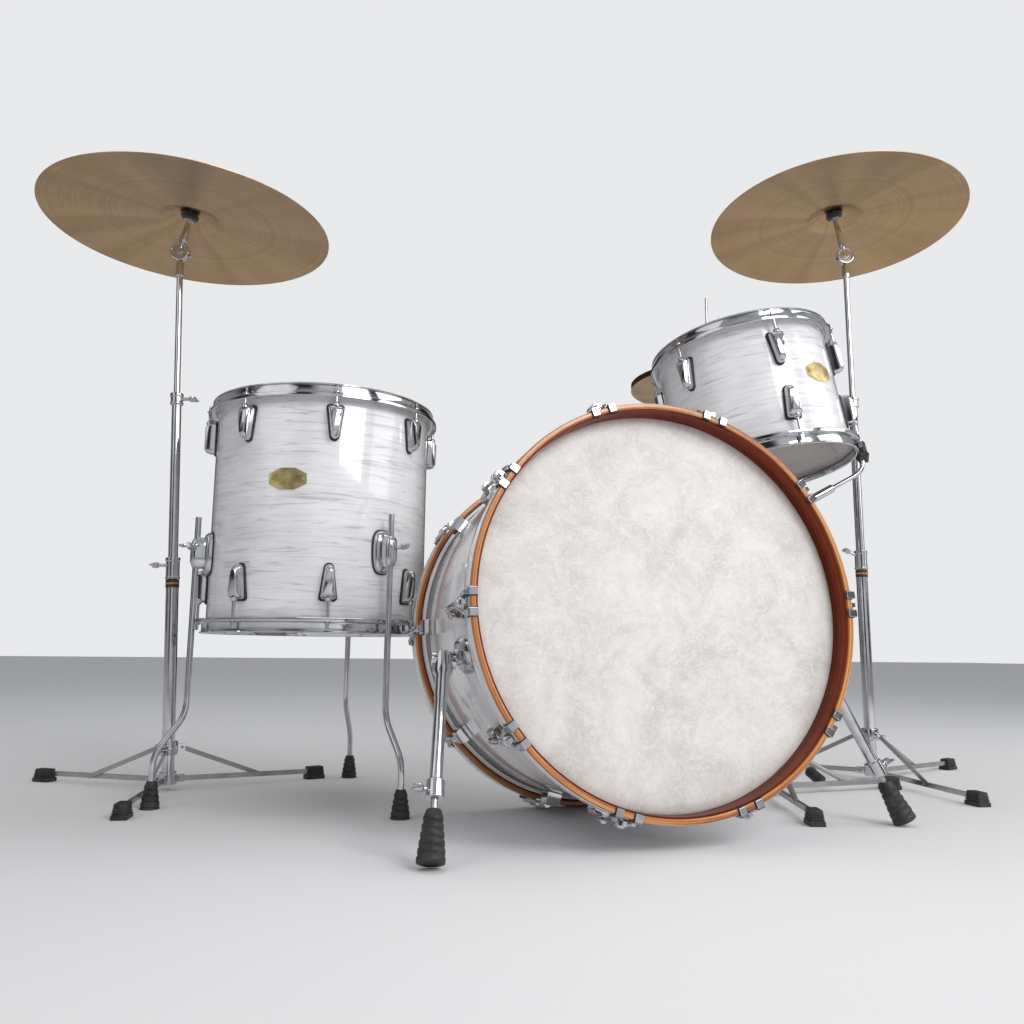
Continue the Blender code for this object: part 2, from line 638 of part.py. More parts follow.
def tom_stand(kit):
    """The rack tom's stand: its tripod base, and the post that slides in its tube."""
    base_frame = Matrix.Translation(TOM_STAND_FOOT)
    collar = 0.098
    outer = TUBE_RADII["lower"]
    bore = BORE_RADII["lower"]
    outline = [
        (0.0, 0.030),
        (bore, 0.030),
        (bore, TOM_STAND_TUBE_TOP),
        (outer + 0.004, TOM_STAND_TUBE_TOP),
        (outer + 0.004, TOM_STAND_TUBE_TOP - 0.030),
        (outer, TOM_STAND_TUBE_TOP - 0.032),
        (outer, collar + 0.014),
        (0.0185, collar + 0.013),
        (0.0185, collar - 0.013),
        (outer, collar - 0.014),
        (outer, 0.034),
        (0.0185, 0.033),
        (0.0185, 0.008),
        (0.0, 0.008),
    ]
    parts = [turned(outline, TUBE_SIDES)]
    for angle, reach in TOM_STAND_LEGS:
        frame = axes((0, 0, 0), (0, 0, 1), around(angle))
        parts.append(block((0.011, -0.0035, 0.0130), (reach, 0.0035, 0.0230), frame))
        end = around(angle, reach)
        parts.append(foot_mesh(end, around(angle), Matrix.Identity(4)))
        top = around(angle, 0.0150, collar)
        pin = around(angle, LEG_PIVOT_RADIUS + STRUT_PIN, 0.0190)
        parts.append(swept([(top, 0.0048), (pin, 0.0048)], 8))
    node("tom_stand_base", "chrome", parts, kit, base_frame)
    radius = TUBE_RADII["middle"]
    post = [(0.0, 0.290), (radius, 0.290), (radius, TOM_POST_TOP), (0.0, TOM_POST_TOP)]
    node("tom_stand_post", "chrome", [turned(post, TUBE_SIDES)], kit, base_frame)


def hi_hat(kit):
    base_frame = Matrix.Translation(HAT_FOOT)
    bell_drop = HAT_BELL_HEIGHT + HAT_BOW_HEIGHT + CYMBAL_METAL
    seat = HAT_LOWER_RIM - bell_drop - 0.0006
    hat_base(base_frame, seat, kit)
    lower = cymbal_outline(HAT_RADIUS, HAT_BELL_RADIUS, HAT_BELL_HEIGHT, HAT_BOW_HEIGHT, up=-1.0)
    upper = cymbal_outline(HAT_RADIUS, HAT_BELL_RADIUS, HAT_BELL_HEIGHT, HAT_BOW_HEIGHT)
    rim = base_frame @ Matrix.Translation((0, 0, HAT_LOWER_RIM))
    node("hihat_bottom_cymbal", "bronze", [turned(lower, DRUM_SIDES)], kit, rim)
    raised = rim @ Matrix.Translation((0, 0, HAT_OPENING))
    node("hihat_top_cymbal", "bronze", [turned(upper, DRUM_SIDES)], kit, raised)
    bell_top = HAT_LOWER_RIM + HAT_OPENING + bell_drop
    rod = [
        (0.0, HAT_ROD_BOTTOM),
        (0.0070, HAT_ROD_BOTTOM),
        (0.0070, HAT_ROD_BOTTOM + 0.018),
        (0.0030, HAT_ROD_BOTTOM + 0.020),
        (0.0030, bell_top + 0.0030),
        (0.0100, bell_top + 0.0032),
        (0.0100, bell_top + 0.030),
        (0.0030, bell_top + 0.031),
        (0.0030, HAT_ROD_TOP),
        (0.0, HAT_ROD_TOP),
    ]
    node("hihat_pull_rod", "chrome", [turned(rod, ROD_SIDES)], kit, base_frame)
    footboard(kit)


def hat_base(base_frame, seat, kit):
    """The hi-hat's tube with its tripod legs, and the frame that carries the footboard."""
    bore = 0.0048
    outline = [
        (bore, seat),
        (0.0180, seat),
        (0.0180, seat - 0.004),
        (0.0095, seat - 0.010),
        (0.0095, 0.520),
        (0.0165, 0.519),
        (0.0165, 0.490),
        (0.0127, 0.489),
        (0.0127, HAT_LEG_TOP + 0.016),
        (0.0190, HAT_LEG_TOP + 0.015),
        (0.0190, HAT_LEG_TOP - 0.015),
        (0.0127, HAT_LEG_TOP - 0.016),
        (0.0127, 0.140),
        (0.0220, 0.139),
        (0.0220, 0.118),
        (bore + 0.004, 0.118),
        (bore + 0.004, 0.150),
        (bore, 0.152),
    ]
    parts = [turned(outline, TUBE_SIDES)]
    for angle, reach in HAT_LEGS:
        leg = [
            (around(angle, 0.0165, HAT_LEG_TOP), 0.0060),
            (around(angle, reach - 0.030, 0.0325), 0.0060),
            (around(angle, reach - 0.028, 0.0308), 0.0120),
            (around(angle, reach, 0.0120), 0.0120),
        ]
        parts.append(swept(leg, 8))
    pedal = axes((0, 0, 0), (0, 0, 1), around(PEDAL_DIRECTION))
    for side in (-1, 1):
        rail = [
            ((0.0, side * 0.0180, 0.128), 0.0045),
            ((0.0, side * 0.0520, 0.075), 0.0045),
            ((0.0, side * 0.0520, 0.010), 0.0045),
            ((0.012, side * 0.0520, 0.0050), 0.0045),
            ((PEDAL_HEEL, side * 0.0520, 0.0050), 0.0045),
        ]
        parts.append(swept(rail, 8, pedal))
    heel = block((PEDAL_HEEL - 0.006, -0.0560, 0.0008), (PEDAL_HEEL + 0.050, 0.0560, 0.0100), pedal)
    parts.append(heel)
    node("hihat_base", "chrome", parts, kit, base_frame)


def footboard(kit):
    """A sloping board, hinged at the heel. Local Y is its hinge, and local X runs towards the toe."""
    heel = HAT_FOOT + around(PEDAL_DIRECTION, PEDAL_HEEL - 0.012, 0.016)
    towards = -around(PEDAL_DIRECTION) * math.cos(PEDAL_SLOPE) + Vector((0, 0, math.sin(PEDAL_SLOPE)))
    sideways = Vector((0, 0, 1)).cross(towards).normalized()
    frame = axes(heel, towards.cross(sideways), towards)
    board = block((0.0, -0.040, -0.003), (PEDAL_LENGTH, 0.040, 0.003))
    toe = block((PEDAL_LENGTH - 0.004, -0.026, -0.003), (PEDAL_LENGTH + 0.055, 0.026, 0.003))
    node("hihat_footboard", "chrome", [board, toe], kit, frame)


def main():
    clear_scene()
    kit = empty("kit", Matrix.Translation(KIT_SHIFT))
    bass_drum(kit)
    floor_tom(kit)
    rack_tom(kit)
    for side in STANDS:
        cymbal_stand(side, kit)
    hi_hat(kit)


main()
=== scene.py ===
"""The looks of an acoustic drum kit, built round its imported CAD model. Metres, +Z up, the floor at z = 0."""

import math

import bmesh
import bpy
from mathutils import Matrix, Vector


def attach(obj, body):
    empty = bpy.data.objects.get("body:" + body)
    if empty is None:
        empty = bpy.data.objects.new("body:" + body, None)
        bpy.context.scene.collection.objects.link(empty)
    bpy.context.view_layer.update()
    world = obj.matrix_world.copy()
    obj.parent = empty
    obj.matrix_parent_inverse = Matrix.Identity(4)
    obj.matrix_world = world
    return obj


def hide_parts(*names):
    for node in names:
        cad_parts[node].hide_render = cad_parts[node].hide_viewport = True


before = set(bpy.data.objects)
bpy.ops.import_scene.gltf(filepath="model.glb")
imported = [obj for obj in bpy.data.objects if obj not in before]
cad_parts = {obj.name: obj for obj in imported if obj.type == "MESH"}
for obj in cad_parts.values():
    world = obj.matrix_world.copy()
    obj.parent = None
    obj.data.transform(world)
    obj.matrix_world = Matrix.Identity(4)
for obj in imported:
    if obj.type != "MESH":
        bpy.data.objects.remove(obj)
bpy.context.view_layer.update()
KIT = "kit_frame"
SHIFT = Vector((-0.0279, -0.0106, 0.0))
FACING = Vector((0.2917, 0.9565, 0.0))
ROUND = 160
TUBE = 48

# Camera, at the height of a low tripod and tilted up a little.
CAMERA_PLACE = Vector((-0.604, -1.681, 0.276)) + SHIFT
CAMERA_LENS = 31.07
CAMERA_UP = math.radians(9.0)
CAMERA_ROLL = math.radians(0.55)

# Bass drum.
BASS_FRONT = Vector((0.0109, -0.4960, 0.3503)) + SHIFT
BASS_RISE = math.radians(5.2)
BASS_TURN = math.radians(0.31)
BASS_RADIUS = 0.2955
BASS_DEPTH = 0.4215
BASS_HOOP_RADIUS = 0.3127
BASS_HOOP_WIDTH = 0.038
BASS_HOOP_INNER = 0.3042
BASS_HEAD_RECESS = 0.033
BASS_LUGS = 10
BASS_LUG_PHASE = 1.0
BASS_LUG_BACK = (0.106, 0.318)
SHELL_WALL = 0.007
HEAD_FILM = 0.001
SPUR_BACK = 0.115
SPUR_DROP = math.radians(13.5)
SPUR_STAND_OFF = 0.038
SPUR_FEET = {"left": Vector((-0.356, -0.527, 0.0)) + SHIFT, "right": Vector((0.464, -0.425, 0.0)) + SHIFT}
SPUR_TUBE_LENGTH = 0.205
SPUR_TUBE_RADIUS = 0.0088
SPUR_ROD_RADIUS = 0.0048
SPUR_FOOT_RADIUS = 0.019

# Toms: centre of the upper rim, axis, shell radius, depth over both rims, lugs and their first angle.
FLOOR_TOM_TOP = Vector((-0.460, 0.088, 0.748)) + SHIFT
FLOOR_TOM_RADIUS = 0.2050
FLOOR_TOM_DEPTH = 0.443
RACK_TOM_TOP = Vector((0.3535, -0.1336, 0.9015)) + SHIFT
RACK_TOM_AXIS = Vector((-0.1239, 0.1354, 0.983)).normalized()
RACK_TOM_RADIUS = 0.1677
RACK_TOM_DEPTH = 0.2726
HOOP_WALL_INNER = 0.0046
TOM_HEAD_RECESS = 0.0120
HEAD_SKIRT = 0.0060
ROD_CIRCLE = 0.0148              # tension rods outside the shell
LUG_WIDTH = 0.0270
LUG_LENGTH = 0.0620
LUG_DEPTH = 0.0220
LEG_ANGLES = (191.0, 297.5, 68.0)
LEG_CIRCLE = 0.2310
LEG_RADIUS = 0.0055
LEG_TOP = 0.518
LEG_BEND_TOP = 0.160
LEG_BEND_FOOT = 0.092
LEG_SPREAD = 0.050
LEG_FOOT_HEIGHT = 0.047
BRACKET_LOW = 0.412
BRACKET_HIGH = 0.490

# Rack tom's stand.
TOM_STAND_FOOT = Vector((0.420, -0.100, 0.0)) + SHIFT
TOM_STAND_LEGS = ((-110.0, 0.289), (3.0, 0.286), (126.5, 0.290))
TOM_STAND_TUBE_TOP = 0.430
TOM_STAND_COLLAR = 0.098
TOM_POST_TOP = 0.531
TOM_PIVOT = Vector((0.420, -0.100, 0.545)) + SHIFT
BASKET_ANGLES = (-20.0, 100.0, 220.0)
BASKET_REACH = 0.1985
HUB_DROP = 0.0895

# Cymbal stands.
TUBE_RADII = {"lower": 0.0124, "middle": 0.0095, "upper": 0.0064}
BORE_RADII = {"lower": 0.0100, "middle": 0.0069}
HUB_RADIUS = 0.0165
LEG_PIVOT_RADIUS = 0.0265
LEG_PIVOT_HEIGHT = 0.0200
LEG_HALF_HEIGHT = 0.0050
LEG_PLANE = (-0.0054, -0.0018)
STRUT_PLANE = (0.0018, 0.0048)
STRUT_PIN = 0.160
FOOT_SIZE = (0.040, 0.026, 0.028)
FOOT_AXIS_HEIGHT = 0.0165
STANDS = {
    "left": {
        "foot": Vector((-0.722, 0.254, 0.0)) + SHIFT,
        "lean": Vector((-0.0436, 0.0133, 1.0)),
        "legs": ((-99.0, 0.300), (18.0, 0.300), (145.0, 0.300)),
        "collar": 0.080,
        "tops": (0.462, 0.812, 1.108),
        "cymbal": Vector((-0.756, 0.262, 1.184)) + SHIFT,
        "normal": Vector((0.034, -0.010, 1.0)),
    },
    "right": {
        "foot": Vector((0.7726, 0.0424, 0.0)) + SHIFT,
        "lean": Vector((0.0, 0.0, 1.0)),
        "legs": ((-96.0, 0.328), (20.0, 0.328), (128.0, 0.320)),
        "collar": 0.100,
        "tops": (0.517, 0.886, 1.222),
        "cymbal": Vector((0.754, 0.052, 1.327)) + SHIFT,
        "normal": Vector((0.004, 0.069, 1.0)),
    },
}
TILTER_RISE = 0.024
RATCHET_RADIUS = 0.0205
CYMBAL_RADIUS = 0.300
CYMBAL_BELL_RADIUS = 0.066
CYMBAL_BELL_HEIGHT = 0.017
CYMBAL_BOW_HEIGHT = 0.019
CYMBAL_METAL = 0.0013
CYMBAL_HOLE = 0.0066

# Hi-hat.
HAT_FOOT = Vector((0.478, 0.205, 0.0)) + SHIFT
HAT_RADIUS = 0.1905
HAT_BELL_RADIUS = 0.050
HAT_BELL_HEIGHT = 0.015
HAT_BOW_HEIGHT = 0.014
HAT_LOWER_RIM = 0.926
HAT_OPENING = 0.012
HAT_ROD_TOP = 1.164
HAT_ROD_BOTTOM = 0.082
HAT_LEGS = ((-65.0, 0.260), (55.0, 0.260), (175.0, 0.260))
HAT_LEG_TOP = 0.270
PEDAL_DIRECTION = 115.0
PEDAL_LENGTH = 0.225
PEDAL_HEEL = 0.285
PEDAL_SLOPE = math.radians(13.0)


# ---------------------------------------------------------------- frames and meshes

def axes(origin, z_axis, x_hint):
    """A frame at origin with the given Z axis, and X as near to x_hint as it can be."""
    z_axis = Vector(z_axis).normalized()
    y_axis = z_axis.cross(Vector(x_hint)).normalized()
    x_axis = y_axis.cross(z_axis)
    turn = Matrix((x_axis, y_axis, z_axis)).transposed()
    return Matrix.Translation(origin) @ turn.to_4x4()


def around(degrees, radius=1.0, height=0.0):
    angle = math.radians(degrees)
    return Vector((radius * math.cos(angle), radius * math.sin(angle), height))


def to_mesh(work, at=None):
    if at is not None:
        bmesh.ops.transform(work, matrix=at, verts=work.verts)
    bmesh.ops.recalc_face_normals(work, faces=work.faces)
    made = bpy.data.meshes.new("shape")
    work.to_mesh(made)
    work.free()
    return made


def turned(profile, sides=TUBE, at=None):
    """A solid of revolution about Z from a closed outline of (radius, height) points."""
    work = bmesh.new()
    rings = []
    for radius, height in profile:
        if radius <= 0.0:
            rings.append([work.verts.new((0.0, 0.0, height))])
            continue
        rings.append([work.verts.new(around(360.0 * n / sides, radius, height)) for n in range(sides)])
    for here, there in zip(rings, rings[1:] + rings[:1]):
        if len(here) == 1 and len(there) == 1:
            continue
        for n in range(sides):
            after = (n + 1) % sides
            if len(here) == 1:
                work.faces.new((here[0], there[n], there[after]))
            elif len(there) == 1:
                work.faces.new((here[n], here[after], there[0]))
            else:
                work.faces.new((here[n], here[after], there[after], there[n]))
    return to_mesh(work, at)


def swept(stations, sides=20, at=None):
    """A round bar through (point, radius) stations, with flat ends."""
    points = [Vector(point) for point, _ in stations]
    work = bmesh.new()
    rings = []
    side = None
    for index, (_, radius) in enumerate(stations):
        back = points[index] - points[max(index - 1, 0)]
        ahead = points[min(index + 1, len(points) - 1)] - points[index]
        along = (back.normalized() + ahead.normalized()).normalized()
        if side is None:
            side = along.orthogonal()
        side = (side - along * side.dot(along)).normalized()
        across = along.cross(side)
        ring = []
        for step in range(sides):
            angle = math.tau * step / sides
            ring.append(work.verts.new(points[index] + (side * math.cos(angle) + across * math.sin(angle)) * radius))
        rings.append(ring)
    for lower, upper in zip(rings, rings[1:]):
        for step in range(sides):
            after = (step + 1) % sides
            work.faces.new((lower[step], lower[after], upper[after], upper[step]))
    work.faces.new(list(reversed(rings[0])))
    work.faces.new(rings[-1])
    return to_mesh(work, at)


def bent(points, radius, bend=0.020, steps=7):
    """Stations of a bar with rounded corners."""
    points = [Vector(point) for point in points]
    stations = [(points[0], radius)]
    for before, corner, after in zip(points, points[1:], points[2:]):
        reach = min(bend, (corner - before).length * 0.45, (after - corner).length * 0.45)
        start = corner + (before - corner).normalized() * reach
        end = corner + (after - corner).normalized() * reach
        for step in range(steps):
            part = step / (steps - 1)
            stations.append((start.lerp(corner, part).lerp(corner.lerp(end, part), part), radius))
    stations.append((points[-1], radius))
    return stations


def block(low, high, at=None, top_scale=1.0):
    """A box between two corners. top_scale narrows its upper face."""
    low = Vector(low)
    high = Vector(high)
    middle = (low + high) / 2
    work = bmesh.new()
    bmesh.ops.create_cube(work, size=1.0)
    for vert in work.verts:
        spread = top_scale if vert.co.z > 0 else 1.0
        vert.co.x = middle.x + vert.co.x * (high.x - low.x) * spread
        vert.co.y = middle.y + vert.co.y * (high.y - low.y) * spread
        vert.co.z = middle.z + vert.co.z * (high.z - low.z)
    return to_mesh(work, at)


def lofted(outline, levels, at=None):
    """Copies of a flat outline of (y, z) points, one at each (x, scale) level, joined into a solid."""
    work = bmesh.new()
    rings = []
    for height, scale in levels:
        rings.append([work.verts.new((height, y * scale, z * scale)) for y, z in outline])
    count = len(outline)
    for lower, upper in zip(rings, rings[1:]):
        for n in range(count):
            after = (n + 1) % count
            work.faces.new((lower[n], lower[after], upper[after], upper[n]))
    work.faces.new(rings[0])
    work.faces.new(rings[-1])
    return to_mesh(work, at)


def joined(meshes):
    work = bmesh.new()
    for mesh in meshes:
        work.from_mesh(mesh)
    made = bpy.data.meshes.new("shape")
    work.to_mesh(made)
    work.free()
    return made


def piece(name, mesh, body, finish, at=None, bevel=0.0, replaces=(), sharp=35.0):
    """One shown piece, riding on a body."""
    made = bpy.data.objects.new(name, mesh)
    bpy.context.collection.objects.link(made)
    if not mesh.materials:
        mesh.shade_smooth()
        mesh.set_sharp_from_angle(angle=math.radians(sharp))
        mesh.materials.append(finish)
    made.matrix_world = at if at is not None else Matrix.Identity(4)
    if bevel:
        step = made.modifiers.new("edges", "BEVEL")
        step.width = bevel
        step.segments = 2
        step.limit_method = "ANGLE"
        step.angle_limit = math.radians(sharp)
        step.harden_normals = True
    bpy.context.view_layer.update()
    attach(made, body)
    if replaces:
        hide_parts(*replaces)
    return made


# ---------------------------------------------------------------- materials

class Finish:
    """A node material under construction: short ways to add and link nodes."""

    def __init__(self, name, colour, metallic, roughness, **constants):
        self.material = bpy.data.materials.new(name)
        self.material.use_nodes = True
        self.tree = self.material.node_tree
        self.shader = self.tree.nodes["Principled BSDF"]
        self.shader.inputs["Base Color"].default_value = (*colour, 1.0)
        self.shader.inputs["Metallic"].default_value = metallic
        self.shader.inputs["Roughness"].default_value = roughness
        for key, value in constants.items():
            self.shader.inputs[key.replace("_", " ")].default_value = value

    def add(self, kind, **values):
        made = self.tree.nodes.new("ShaderNode" + kind)
        for key, value in values.items():
            setattr(made, key, value)
        return made

    def link(self, source, target):
        self.tree.links.new(source, target)

    def place(self, scale):
        """Object coordinates, stretched by scale."""
        source = self.add("TexCoord")
        mapping = self.add("Mapping")
        mapping.inputs["Scale"].default_value = scale
        self.link(source.outputs["Object"], mapping.inputs["Vector"])
        return mapping.outputs["Vector"]

    def noise(self, vector, scale, detail=3.0, rough=0.5, distortion=0.0):
        made = self.add("TexNoise")
        made.inputs["Scale"].default_value = scale
        made.inputs["Detail"].default_value = detail
        made.inputs["Roughness"].default_value = rough
        made.inputs["Distortion"].default_value = distortion
        self.link(vector, made.inputs["Vector"])
        return made.outputs["Fac"]

    def ramp(self, value, *stops):
        made = self.add("ValToRGB")
        elements = made.color_ramp.elements
        while len(elements) < len(stops):
            elements.new(0.5)
        for element, (place, colour) in zip(elements, stops):
            element.position = place
            element.color = (*colour, 1.0)
        self.link(value, made.inputs["Fac"])
        return made.outputs["Color"]

    def span(self, value, low, high, start=0.0, end=1.0):
        made = self.add("MapRange")
        made.inputs["From Min"].default_value = start
        made.inputs["From Max"].default_value = end
        made.inputs["To Min"].default_value = low
        made.inputs["To Max"].default_value = high
        self.link(value, made.inputs["Value"])
        return made.outputs["Result"]

    def mix(self, factor, first, second, blend="MIX"):
        made = self.add("Mix", data_type="RGBA", blend_type=blend)
        for key, value in ((0, factor), (6, first), (7, second)):
            if isinstance(value, (tuple, float)):
                made.inputs[key].default_value = value
            else:
                self.link(value, made.inputs[key])
        return made.outputs[2]

    def maths(self, operation, first, second=0.0):
        made = self.add("Math", operation=operation)
        for key, value in ((0, first), (1, second)):
            if isinstance(value, float):
                made.inputs[key].default_value = value
            else:
                self.link(value, made.inputs[key])
        return made.outputs[0]

    def colour(self, value):
        self.link(value, self.shader.inputs["Base Color"])

    def roughness(self, value):
        self.link(value, self.shader.inputs["Roughness"])

    def bump(self, height, strength, distance=0.001):
        made = self.add("Bump")
        made.inputs["Strength"].default_value = strength
        made.inputs["Distance"].default_value = distance
        self.link(height, made.inputs["Height"])
        self.link(made.outputs["Normal"], self.shader.inputs["Normal"])


def pearl_wrap():
    """White oyster pearl: thin wavy streaks that run round the shell, across its Z axis."""
    made = Finish("pearl_wrap", (0.86, 0.85, 0.88), 0.0, 0.28, Coat_Weight=1.0, Coat_Roughness=0.05)
    streaks = made.noise(made.place((2.5, 2.5, 34.0)), 4.2, 5.0, 0.62, 1.1)
    clouds = made.noise(made.place((1.0, 1.0, 3.2)), 5.5, 3.0, 0.5, 0.5)
    fine = made.noise(made.place((7.0, 7.0, 90.0)), 5.0, 3.0, 0.6, 0.6)
    base = made.ramp(
        streaks,
        (0.33, (0.66, 0.635, 0.66)),
        (0.43, (0.86, 0.845, 0.865)),
        (0.52, (0.955, 0.95, 0.96)),
        (0.66, (1.0, 1.0, 1.0)),
    )
    veil = made.ramp(clouds, (0.35, (0.91, 0.895, 0.92)), (0.62, (1.0, 1.0, 1.0)))
    grain = made.ramp(fine, (0.35, (0.95, 0.945, 0.955)), (0.60, (1.0, 1.0, 1.0)))
    made.colour(made.mix(0.8, made.mix(0.75, base, veil, "MULTIPLY"), grain, "MULTIPLY"))
    made.roughness(made.span(streaks, 0.34, 0.20, 0.3, 0.7))
    made.bump(streaks, 0.05)
    return made.material


def plies(name, dark, middle, light, coat=0.6, gloss=0.5):
    """Lacquered wood with fine stripes that run round the hoop, parallel to its edges."""
    made = Finish(name, middle, 0.0, 0.34, Coat_Weight=coat, Coat_Roughness=0.12, Specular_IOR_Level=gloss)
    source = made.add("TexCoord")
    split = made.add("SeparateXYZ")
    made.link(source.outputs["Object"], split.inputs["Vector"])
    across = made.maths("POWER", split.outputs["X"], 2.0)
    squared = made.maths("ADD", across, made.maths("POWER", split.outputs["Y"], 2.0))
    rolled = made.add("CombineXYZ")
    made.link(made.maths("SQRT", squared), rolled.inputs["X"])
    made.link(made.maths("MULTIPLY", split.outputs["X"], 0.012), rolled.inputs["Y"])
    made.link(split.outputs["Z"], rolled.inputs["Z"])
    stripes = made.noise(rolled.outputs["Vector"], 380.0, 4.0, 0.6, 0.2)
    figure = made.noise(made.place((14.0, 14.0, 8.0)), 3.0, 2.0, 0.5)
    base = made.ramp(stripes, (0.36, dark), (0.50, middle), (0.66, light))
    made.colour(made.mix(0.35, base, made.ramp(figure, (0.3, (0.66, 0.56, 0.5)), (0.7, (1.0, 1.0, 1.0))),
            "MULTIPLY"))
    made.roughness(made.span(stripes, 0.26, 0.40))
    made.bump(stripes, 0.06, 0.0005)
    return made.material


def fibre_head():
    """An off-white film with clouds and pale tangled fibres, like real skin."""
    made = Finish("fibre_head", (0.80, 0.77, 0.73), 0.0, 0.50)
    flat = made.place((1.0, 1.0, 1.0))
    clouds = made.noise(flat, 13.0, 7.0, 0.66, 0.6)
    base = made.ramp(clouds, (0.34, (0.66, 0.635, 0.60)), (0.50, (0.78, 0.755, 0.715)),
            (0.66, (0.88, 0.86, 0.83)))
    for stretch, scale, twist in (((1.0, 1.7, 1.0), 19.0, 1.6), ((1.8, 1.0, 1.0), 26.0, 2.0)):
        field = made.noise(made.place(stretch), scale, 5.0, 0.62, twist)
        ridge = made.maths("ABSOLUTE", made.maths("SUBTRACT", field, 0.5))
        lines = made.span(ridge, 0.55, 0.0, 0.0, 0.022)
        base = made.mix(lines, base, (0.95, 0.94, 0.92, 1.0))
    grain = made.noise(flat, 160.0, 4.0, 0.65)
    made.colour(made.mix(0.5, base, made.ramp(grain, (0.35, (0.90, 0.895, 0.885)), (0.60, (1.0, 1.0, 1.0))),
            "MULTIPLY"))
    made.roughness(made.span(clouds, 0.44, 0.60))
    made.bump(grain, 0.08)
    return made.material


def coated_head():
    """A sprayed white playing surface, slightly scuffed in the middle."""
    made = Finish("coated_head", (0.82, 0.82, 0.80), 0.0, 0.6)
    spray = made.noise(made.place((1.0, 1.0, 1.0)), 420.0, 2.0)
    scuffs = made.noise(made.place((1.0, 3.0, 1.0)), 16.0, 6.0, 0.7, 1.5)
    made.colour(made.ramp(scuffs, (0.30, (0.70, 0.70, 0.69)), (0.5, (0.80, 0.80, 0.785)),
            (0.7, (0.86, 0.86, 0.85))))
    made.roughness(made.span(scuffs, 0.5, 0.68))
    made.bump(spray, 0.15, 0.0004)
    return made.material


def film_head():
    """A clear film, coloured with the shell's grey-brown inside, darkened by the painted shade inside the closed
    drum.
    """
    made = Finish("film_head", (0.23, 0.175, 0.16), 0.0, 0.22, Coat_Weight=0.25, Coat_Roughness=0.06)
    haze = made.noise(made.place((1.0, 1.0, 1.0)), 7.0, 4.0, 0.55, 0.6)
    # Grey-brown of the inner shell, with the shade inside the drum painted in.
    made.colour(made.ramp(haze, (0.30, (0.17, 0.125, 0.112)), (0.70, (0.29, 0.225, 0.205))))
    made.roughness(made.span(haze, 0.18, 0.32))
    made.bump(haze, 0.02)
    return made.material


def chrome():
    made = Finish("polished_chrome", (0.56, 0.57, 0.59), 1.0, 0.07)
    film = made.noise(made.place((1.0, 1.0, 1.0)), 38.0, 3.0, 0.5, 0.4)
    wipes = made.noise(made.place((1.0, 1.0, 0.25)), 260.0, 2.0)
    made.colour(made.ramp(film, (0.3, (0.50, 0.51, 0.53)), (0.7, (0.62, 0.63, 0.65))))
    made.roughness(made.maths("ADD", made.span(film, 0.03, 0.11), made.span(wipes, 0.0, 0.03)))
    made.bump(film, 0.012, 0.0005)
    return made.material


def satin_steel():
    made = Finish("satin_steel", (0.42, 0.42, 0.43), 1.0, 0.34)
    brushing = made.noise(made.place((3.0, 3.0, 1.0)), 160.0, 3.0, 0.6)
    wear = made.noise(made.place((1.0, 1.0, 1.0)), 14.0, 4.0, 0.6)
    made.colour(made.ramp(wear, (0.30, (0.34, 0.34, 0.35)), (0.70, (0.52, 0.52, 0.53))))
    made.roughness(made.maths("ADD", made.span(brushing, 0.20, 0.34), made.span(wear, 0.0, 0.10)))
    made.bump(brushing, 0.06, 0.0003)
    return made.material


def rubber():
    made = Finish("black_rubber", (0.020, 0.020, 0.022), 0.0, 0.55)
    dust = made.noise(made.place((1.0, 1.0, 1.0)), 60.0, 5.0, 0.6)
    made.colour(made.ramp(dust, (0.35, (0.012, 0.012, 0.013)), (0.75, (0.060, 0.058, 0.056))))
    made.roughness(made.span(dust, 0.42, 0.70))
    made.bump(dust, 0.10, 0.0004)
    return made.material


def felt(name, dark, light):
    made = Finish(name, light, 0.0, 0.95, Sheen_Weight=0.4)
    wool = made.noise(made.place((1.0, 1.0, 1.0)), 700.0, 4.0, 0.7, 1.0)
    made.colour(made.ramp(wool, (0.3, dark), (0.7, light)))
    made.roughness(made.span(wool, 0.85, 1.0))
    made.bump(wool, 0.5, 0.0006)
    return made.material


def badge_metal():
    made = Finish("gold_badge", (0.76, 0.66, 0.42), 0.85, 0.30)
    tarnish = made.noise(made.place((1.0, 1.0, 1.0)), 45.0, 4.0, 0.6)
    made.colour(made.ramp(tarnish, (0.34, (0.36, 0.27, 0.10)), (0.66, (0.74, 0.62, 0.33))))
    made.roughness(made.span(tarnish, 0.22, 0.42))
    made.bump(tarnish, 0.04, 0.0004)
    return made.material


def enamel(name, colour):
    made = Finish(name, colour, 0.0, 0.35)
    speck = made.noise(made.place((1.0, 1.0, 1.0)), 120.0, 3.0)
    darker = tuple(part * 0.8 for part in colour)
    made.colour(made.ramp(speck, (0.3, darker), (0.7, colour)))
    made.roughness(made.span(speck, 0.28, 0.42))
    made.bump(speck, 0.03, 0.0003)
    return made.material


